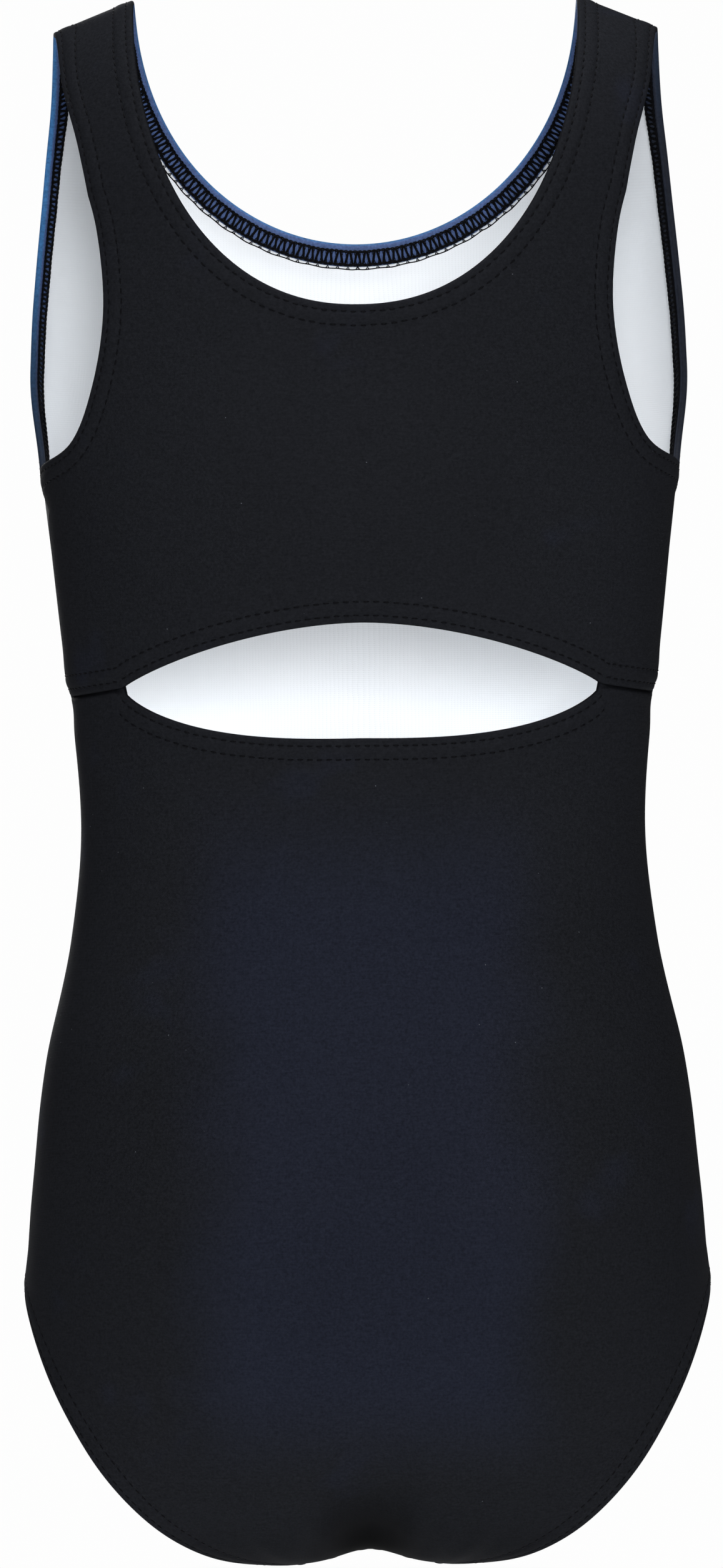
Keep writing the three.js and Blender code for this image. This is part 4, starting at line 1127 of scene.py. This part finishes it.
class LEOTARD_OT_back_panels(bpy.types.Operator):
    """Upper back with its straps, and the lower back tucked under its hem"""
    bl_idname = "leotard.back_panels"
    bl_label = "Back panels"

    def execute(self, context):
        c = cut()
        bulge = context.scene.leotard_sizes.hem_bulge / MM
        cloth = material("back", back_cloth_finish)
        end = c.back_side + 1
        upper = panel("back_upper_cloth", c.upper_grid(BAND_WIDTH), BACK,
                      [("keyhole_upper", False, True), ("back_armhole", True, True), ("back_neck", False, True)],
                      [(slice(0, end), -1), (-1, slice(None))], bulge, c)
        finished(upper, cloth, "back_cloth", "back_upper_panel")
        lower = panel("back_lower_cloth", c.lower_grid(BAND_WIDTH), BACK,
                      [("keyhole_lower", False, True), ("back_leg", True, True)],
                      [(slice(c.leg, None), -1), (0, slice(None))], bulge, c)
        finished(lower, cloth, "back_cloth", "back_lower_panel")
        return {"FINISHED"}


class LEOTARD_OT_front_panel(bpy.types.Operator):
    """The whole front in one piece, with its turned hems"""
    bl_idname = "leotard.front_panel"
    bl_label = "Front panel"

    def execute(self, context):
        c = cut()
        bulge = context.scene.leotard_sizes.hem_bulge / MM
        front = panel("front_cloth", c.front_grid(BAND_WIDTH), FRONT,
                      [("front_leg", True, True), ("front_armhole", True, True), ("front_neck", False, True)],
                      [(slice(c.leg, c.leg + c.front_side + 1), -1), (-1, slice(None)), (0, slice(None))],
                      bulge, c)
        finished(front, material("front", front_cloth_finish), "front_cloth", "front_panel")
        return {"FINISHED"}


class LEOTARD_OT_linings(bpy.types.Operator):
    """White mesh lining of the front, and the crotch lining over it"""
    bl_idname = "leotard.linings"
    bl_label = "Linings"

    def execute(self, context):
        c = cut()
        mesh = material("lining", lining_finish)
        shell = Shell()
        grid = c.front_grid(1.3)
        top, flat = add_face(shell, grid, FRONT, LINING_TOP)
        bottom, _ = add_face(shell, grid, FRONT, LINING_BOTTOM)
        for rim in ((slice(None), -1), (-1, slice(None)), (0, slice(None)),
                    (slice(len(grid) - c.neck - 1, None), 0)):
            add_rim(shell, top[rim], bottom[rim], flat[rim])
        finished(shell.mirrored().build("front_lining_mesh"), mesh, "lining", "front_lining")
        finished(self.gusset(c), mesh, "lining", "gusset_lining")
        return {"FINISHED"}

    def gusset(self, c):
        rows = []
        for key, side, reach in (("back_leg", BACK, GUSSET_BACK_REACH), ("front_leg", FRONT, GUSSET_FRONT_REACH)):
            inset = c.runs[key].inset(HEM_WIDTH + 1.4)
            points = body_point(inset[:, 0], inset[:, 1], side)
            low = points[:, 2] <= -GARMENT_LENGTH + reach
            edge = pattern_point(np.minimum(points[low, 0], GUSSET_HALF_WIDTH), points[low, 2])
            share = np.linspace(0, 1, 25)
            a, q = edge[:, :1] * share[None], edge[:, 1:] + 0 * share[None]
            place, normal = place_on(a, q, side, 0)
            rows.append((place, normal, laid_flat(a, q)))
        joined = [np.vstack([rows[0][k][::-1], rows[1][k][1:]]) for k in range(3)]
        shell = Shell()
        top, bottom = (joined[0] + joined[1] * h for h in (-0.55, -0.95))
        for points in (top, bottom):
            shell.grid(points, joined[2])
        for rim in ((slice(None), -1), (0, slice(None)), (-1, slice(None))):
            add_rim(shell, top[rim], bottom[rim], joined[2][rim])
        return shell.mirrored().build("gusset_lining_mesh")


HEM_RUNS = {
    "neck": ("back_neck", "front_neck"),
    "armhole": ("back_armhole", "front_armhole"),
    "leg": ("back_leg", "front_leg"),
    "keyhole_upper": ("keyhole_upper",),
    "keyhole_lower": ("keyhole_lower",),
}


def hem_pieces():
    """Each hem's CAD name, its runs, and which halves of the body it covers: both, or one of them."""
    for name, keys in HEM_RUNS.items():
        if name in ("armhole", "leg"):
            yield f"left_{name}", keys, "left"
            yield f"right_{name}", keys, "right"
        else:
            yield name, keys, "both"


def on_halves(shell, halves):
    if halves == "both":
        return shell.mirrored()
    if halves == "right":
        shell.points = [p * np.array([-1, 1, 1]) for p in shell.points]
        shell.faces = [f[:, ::-1] for f in shell.faces]
        shell.polygons = [p[::-1] for p in shell.polygons]
    return shell


class LEOTARD_OT_elastics(bpy.types.Operator):
    """Flat elastic inside each turned hem"""
    bl_idname = "leotard.elastics"
    bl_label = "Elastics"

    def execute(self, context):
        c = cut()
        ribbed = material("elastic", elastic_finish)
        section = np.array([(1.45, ELASTIC_TOP), (2.7, ELASTIC_TOP), (4.0, ELASTIC_TOP), (5.3, ELASTIC_TOP),
                            (6.4, ELASTIC_TOP), (6.5, (ELASTIC_TOP + ELASTIC_BOTTOM) / 2), (6.4, ELASTIC_BOTTOM),
                            (5.3, ELASTIC_BOTTOM), (4.0, ELASTIC_BOTTOM), (2.7, ELASTIC_BOTTOM),
                            (1.45, ELASTIC_BOTTOM), (1.35, (ELASTIC_TOP + ELASTIC_BOTTOM) / 2)])
        for name, keys, halves in hem_pieces():
            shell = Shell()
            for key in keys:
                run = c.runs[key]
                kept = run.s <= c.tip[key] - 1 if key == "keyhole_lower" else run.s >= 0
                s = run.s[kept][:, None] + 0 * section[None, :, 0]
                points, _ = run.at(s, section[None, :, 0] + 0 * s, section[None, :, 1] + 0 * s)
                flat = np.stack([section[None, :, 0] + 0 * s, s, 0 * s], -1)
                shell.grid(points, flat, loop=True)
                for end, wanted in ((0, halves != "both"), (-1, True)):
                    if wanted:
                        shell.polygon(points[end], flat[end])
            piece = on_halves(shell, halves).build(f"{name}_ribbed_elastic")
            finished(piece, ribbed, "elastic", f"{name}_elastic")
        return {"FINISHED"}


class LEOTARD_OT_coverstitch(bpy.types.Operator):
    """Coverstitch of every hem: needle rows outside, chains and crossing looper threads inside"""
    bl_idname = "leotard.coverstitch"
    bl_label = "Coverstitch"

    def execute(self, context):
        c = cut()
        thread = material("thread", thread_finish)
        near, far = NEEDLE_ROWS
        for name, keys, halves in hem_pieces():
            shell = Shell()
            for key in keys:
                run = c.runs[key]
                tip = c.tip.get(key, run.length)
                needle_row(shell, run, near, 0, tip - (0.8 if key in c.tip else 0))
                if key == "keyhole_lower":
                    needle_row(shell, run, far, 0, tip - 1.5)
                    looper_threads(shell, run, 0, tip - 1.5)
                else:
                    needle_row(shell, run, far, 0, run.length)
                    looper_threads(shell, run, 0, tip)
            piece = on_halves(shell, halves).build(f"{name}_threads", weld=False)
            finished(piece, thread, "thread", f"{name}_coverstitch")
        return {"FINISHED"}


SEAM_DEPTH = 0.62     # from a seam in to its sewn allowance


class LEOTARD_OT_seams(bpy.types.Operator):
    """Side, shoulder, waist and crotch seams: sewn allowances with their overlock threads"""
    bl_idname = "leotard.seams"
    bl_label = "Seams"

    def execute(self, context):
        c = cut()
        thread = material("seam thread", lambda colours: thread_finish(colours, "overlock_thread"))
        cloth = material("back", back_cloth_finish)
        sideways = np.array([0.0, 1.0, 0.0])
        for half, sign in (("left", 1), ("right", -1)):
            mirror = np.array([sign, 1, 1])
            for name, points, inward, width in self.seam_lines():
                points, inward = points * mirror, inward * mirror
                across = np.broadcast_to(sideways, points.shape)
                allowance = strip(f"{half}_{name}_allowance", points, across, inward, width, SEAM_DEPTH)
                allowance.data.materials.append(cloth)
                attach(allowance, "root")
                shell = Shell()
                overlock(shell, points, across, inward, width, SEAM_DEPTH + 0.75)
                piece = shell.build(f"{half}_{name}_overlock", weld=False)
                finished(piece, thread, "thread", f"{half}_{name}_seam")
            shell = Shell()
            upper = c.runs["keyhole_upper"]
            start = c.tip["keyhole_upper"] + 0.4
            needle_row(shell, upper, NEEDLE_ROWS[0], start, upper.length - 0.3)
            looper_threads(shell, upper, start, upper.length - 2.5)
            on_halves(shell, half)
            finished(shell.build(f"{half}_waist_threads", weld=False), thread, "thread", f"{half}_waist_seam")
        self.crotch(thread)
        return {"FINISHED"}

    def seam_lines(self):
        q = profile_height(-np.linspace(ARMHOLE_DROP + 8, HIP_CORNER_DROP - 8, 150))
        side, _ = place_on(np.full_like(q, QUARTER), q, BACK, 0)
        side[:, 1] = 0
        near_hem = smooth_step((14 - np.abs(q + 226.5)) / 7)
        side[:, 0] -= 0.3 * near_hem
        yield "side", side, np.broadcast_to([-1.0, 0, 0], side.shape), 4.6
        a = lerp(pattern_point(STRAP_INNER_X + 8.2, 0)[0], pattern_point(STRAP_OUTER_X - 8.2, 0)[0],
                 np.linspace(0, 1, 16))
        top = body_point(a, 0 * a, BACK)
        top[:, 1] = 0
        yield "shoulder", top, np.broadcast_to([0, 0, -1.0], top.shape), 3.6

    def crotch(self, thread):
        x = np.linspace(-CROTCH_HALF_WIDTH + 8.4, CROTCH_HALF_WIDTH - 8.4, 21)
        a = pattern_point(x, np.full_like(x, -GARMENT_LENGTH))[:, 0]
        points, _ = place_on(a, np.full_like(x, -GARMENT_LENGTH), BACK, 0)
        points[:, 1] = 0
        across = np.broadcast_to([0.0, 1.0, 0.0], points.shape)
        inward = np.broadcast_to([0.0, 0.0, 1.0], points.shape)
        shell = Shell()
        overlock(shell, points, across, inward, 4.4, 1.15)
        finished(shell.build("crotch_overlock", weld=False), thread, "thread", "crotch_seam")


# ------------------------------------------------------------------ studio

CAMERA_ROLL = 0.55
BACKDROP = (0.985, 0.985, 0.985)
VIEW_HEIGHT = 0.518
FLOOR_RADIUS = 2.9
FADE_START = 0.5      # from the floor's centre to where it starts to fade into the backdrop


def soft_lamp(name, place, target, size, power, tint=(1, 1, 1)):
    lamp = bpy.data.lights.new(name, "AREA")
    lamp.shape, lamp.size, lamp.energy, lamp.color = "DISK", size, power, tint
    holder = bpy.data.objects.new(name, lamp)
    holder.location = place
    holder.rotation_mode = "QUATERNION"
    holder.rotation_quaternion = (Vector(target) - Vector(place)).to_track_quat("-Z", "Y")
    bpy.context.scene.collection.objects.link(holder)
    return holder


class LEOTARD_OT_studio(bpy.types.Operator):
    """Pale floor, soft studio light and the camera behind the garment"""
    bl_idname = "leotard.studio"
    bl_label = "Studio"

    def execute(self, context):
        scene = context.scene
        sizes = scene.leotard_sizes
        low, high = CAD_BOX
        middle = (low + high) / 2
        floor = self.floor(low.z - sizes.floor_drop)
        floor.data.materials.append(material("floor", floor_finish))
        self.camera(scene, sizes, middle)
        self.lights(middle)
        self.world(scene)
        scene.view_settings.view_transform = "Standard"
        scene.view_settings.look = "None"
        return {"FINISHED"}

    def floor(self, height):
        mesh = bpy.data.meshes.new("studio_floor")
        work = bmesh.new()
        bmesh.ops.create_circle(work, cap_ends=True, radius=FLOOR_RADIUS, segments=96)
        work.to_mesh(mesh)
        work.free()
        floor = bpy.data.objects.new("studio_floor", mesh)
        floor.location = (0, 0, height)
        bpy.context.scene.collection.objects.link(floor)
        return floor

    def camera(self, scene, sizes, middle):
        data = bpy.data.cameras.new("camera")
        data.sensor_width = 36
        data.lens = data.sensor_width * sizes.viewing_distance / VIEW_HEIGHT
        holder = bpy.data.objects.new("camera", data)
        holder.location = (0.0004, sizes.viewing_distance, middle.z - 0.001)
        holder.rotation_mode = "XYZ"
        holder.rotation_euler = (math.radians(90), math.radians(CAMERA_ROLL), math.radians(180))
        scene.collection.objects.link(holder)
        scene.camera = holder

    def lights(self, middle):
        soft_lamp("key", (-0.2, 3.2, middle.z + 0.35), middle, 0.9, 70)
        soft_lamp("side_left", (2.4, 1.4, middle.z + 0.5), middle, 1.4, 1.2)
        soft_lamp("side_right", (-2.4, 1.2, middle.z + 0.5), middle, 1.4, 1.2)
        soft_lamp("front", (0.6, -3.0, middle.z + 0.7), middle, 1.6, 40)
        soft_lamp("overhead", (0, 0.2, middle.z + 2.4), middle, 1.8, 85)
        for name, x, height, power in (("chest", 0, -0.09, 0.014), ("waist_left", 0.056, -0.228, 0.013),
                                       ("waist_right", -0.056, -0.228, 0.015)):
            inside = soft_lamp(f"inside_{name}", (x, 0.01, height), (x * 1.35, -0.06, height), 0.05, power)
            inside.visible_camera = False

    def world(self, scene):
        world = bpy.data.worlds.new("studio")
        world.use_nodes = True
        tree = world.node_tree
        tree.nodes["Background"].inputs["Color"].default_value = (1, 1, 1, 1)
        tree.nodes["Background"].inputs["Strength"].default_value = 0.14
        seen = tree.nodes.new("ShaderNodeBackground")
        seen.inputs["Color"].default_value = (*BACKDROP, 1)
        path = tree.nodes.new("ShaderNodeLightPath")
        mix = tree.nodes.new("ShaderNodeMixShader")
        tree.links.new(path.outputs["Is Camera Ray"], mix.inputs[0])
        tree.links.new(tree.nodes["Background"].outputs[0], mix.inputs[1])
        tree.links.new(seen.outputs[0], mix.inputs[2])
        tree.links.new(mix.outputs[0], tree.nodes["World Output"].inputs["Surface"])
        scene.world = world


# ------------------------------------------------------------------ add-on

BUILD_ORDER = (
    LEOTARD_OT_back_panels, LEOTARD_OT_front_panel, LEOTARD_OT_linings, LEOTARD_OT_elastics,
    LEOTARD_OT_coverstitch, LEOTARD_OT_seams, LEOTARD_OT_studio,
)


class LEOTARD_PT_panel(bpy.types.Panel):
    """Lists the leotard's pieces, sizes and colours"""
    bl_idname = "LEOTARD_PT_panel"
    bl_label = "Leotard"
    bl_space_type = "VIEW_3D"
    bl_region_type = "UI"
    bl_category = "Leotard"

    def draw(self, context):
        for operator in BUILD_ORDER:
            self.layout.operator(operator.bl_idname)
        for group in (context.scene.leotard_sizes, context.scene.leotard_colours):
            for name in group.bl_rna.properties.keys():
                if name not in ("rna_type", "name"):
                    self.layout.prop(group, name)


CLASSES = (LEOTARD_PG_sizes, LEOTARD_PG_colours, *BUILD_ORDER, LEOTARD_PT_panel)


def register():
    for item in CLASSES:
        bpy.utils.register_class(item)
    bpy.types.Scene.leotard_sizes = bpy.props.PointerProperty(type=LEOTARD_PG_sizes)
    bpy.types.Scene.leotard_colours = bpy.props.PointerProperty(type=LEOTARD_PG_colours)


def unregister():
    del bpy.types.Scene.leotard_colours
    del bpy.types.Scene.leotard_sizes
    for item in reversed(CLASSES):
        bpy.utils.unregister_class(item)


def declare_sheets():
    """The size that each piece of cloth was cut to, as estimated."""
    pieces = bpy.data.objects
    declare_sheet(pieces["back_upper_cloth"], STRETCH)
    declare_sheet(pieces["back_lower_cloth"], STRETCH)
    declare_sheet(pieces["front_cloth"], STRETCH)
    declare_sheet(pieces["front_lining_mesh"], STRETCH)
    declare_sheet(pieces["gusset_lining_mesh"], GUSSET_STRETCH)


def main():
    register()
    for operator in BUILD_ORDER:
        area, name = operator.bl_idname.split(".")
        getattr(getattr(bpy.ops, area), name)()
    declare_sheets()


if __name__ == "__main__":
    main()
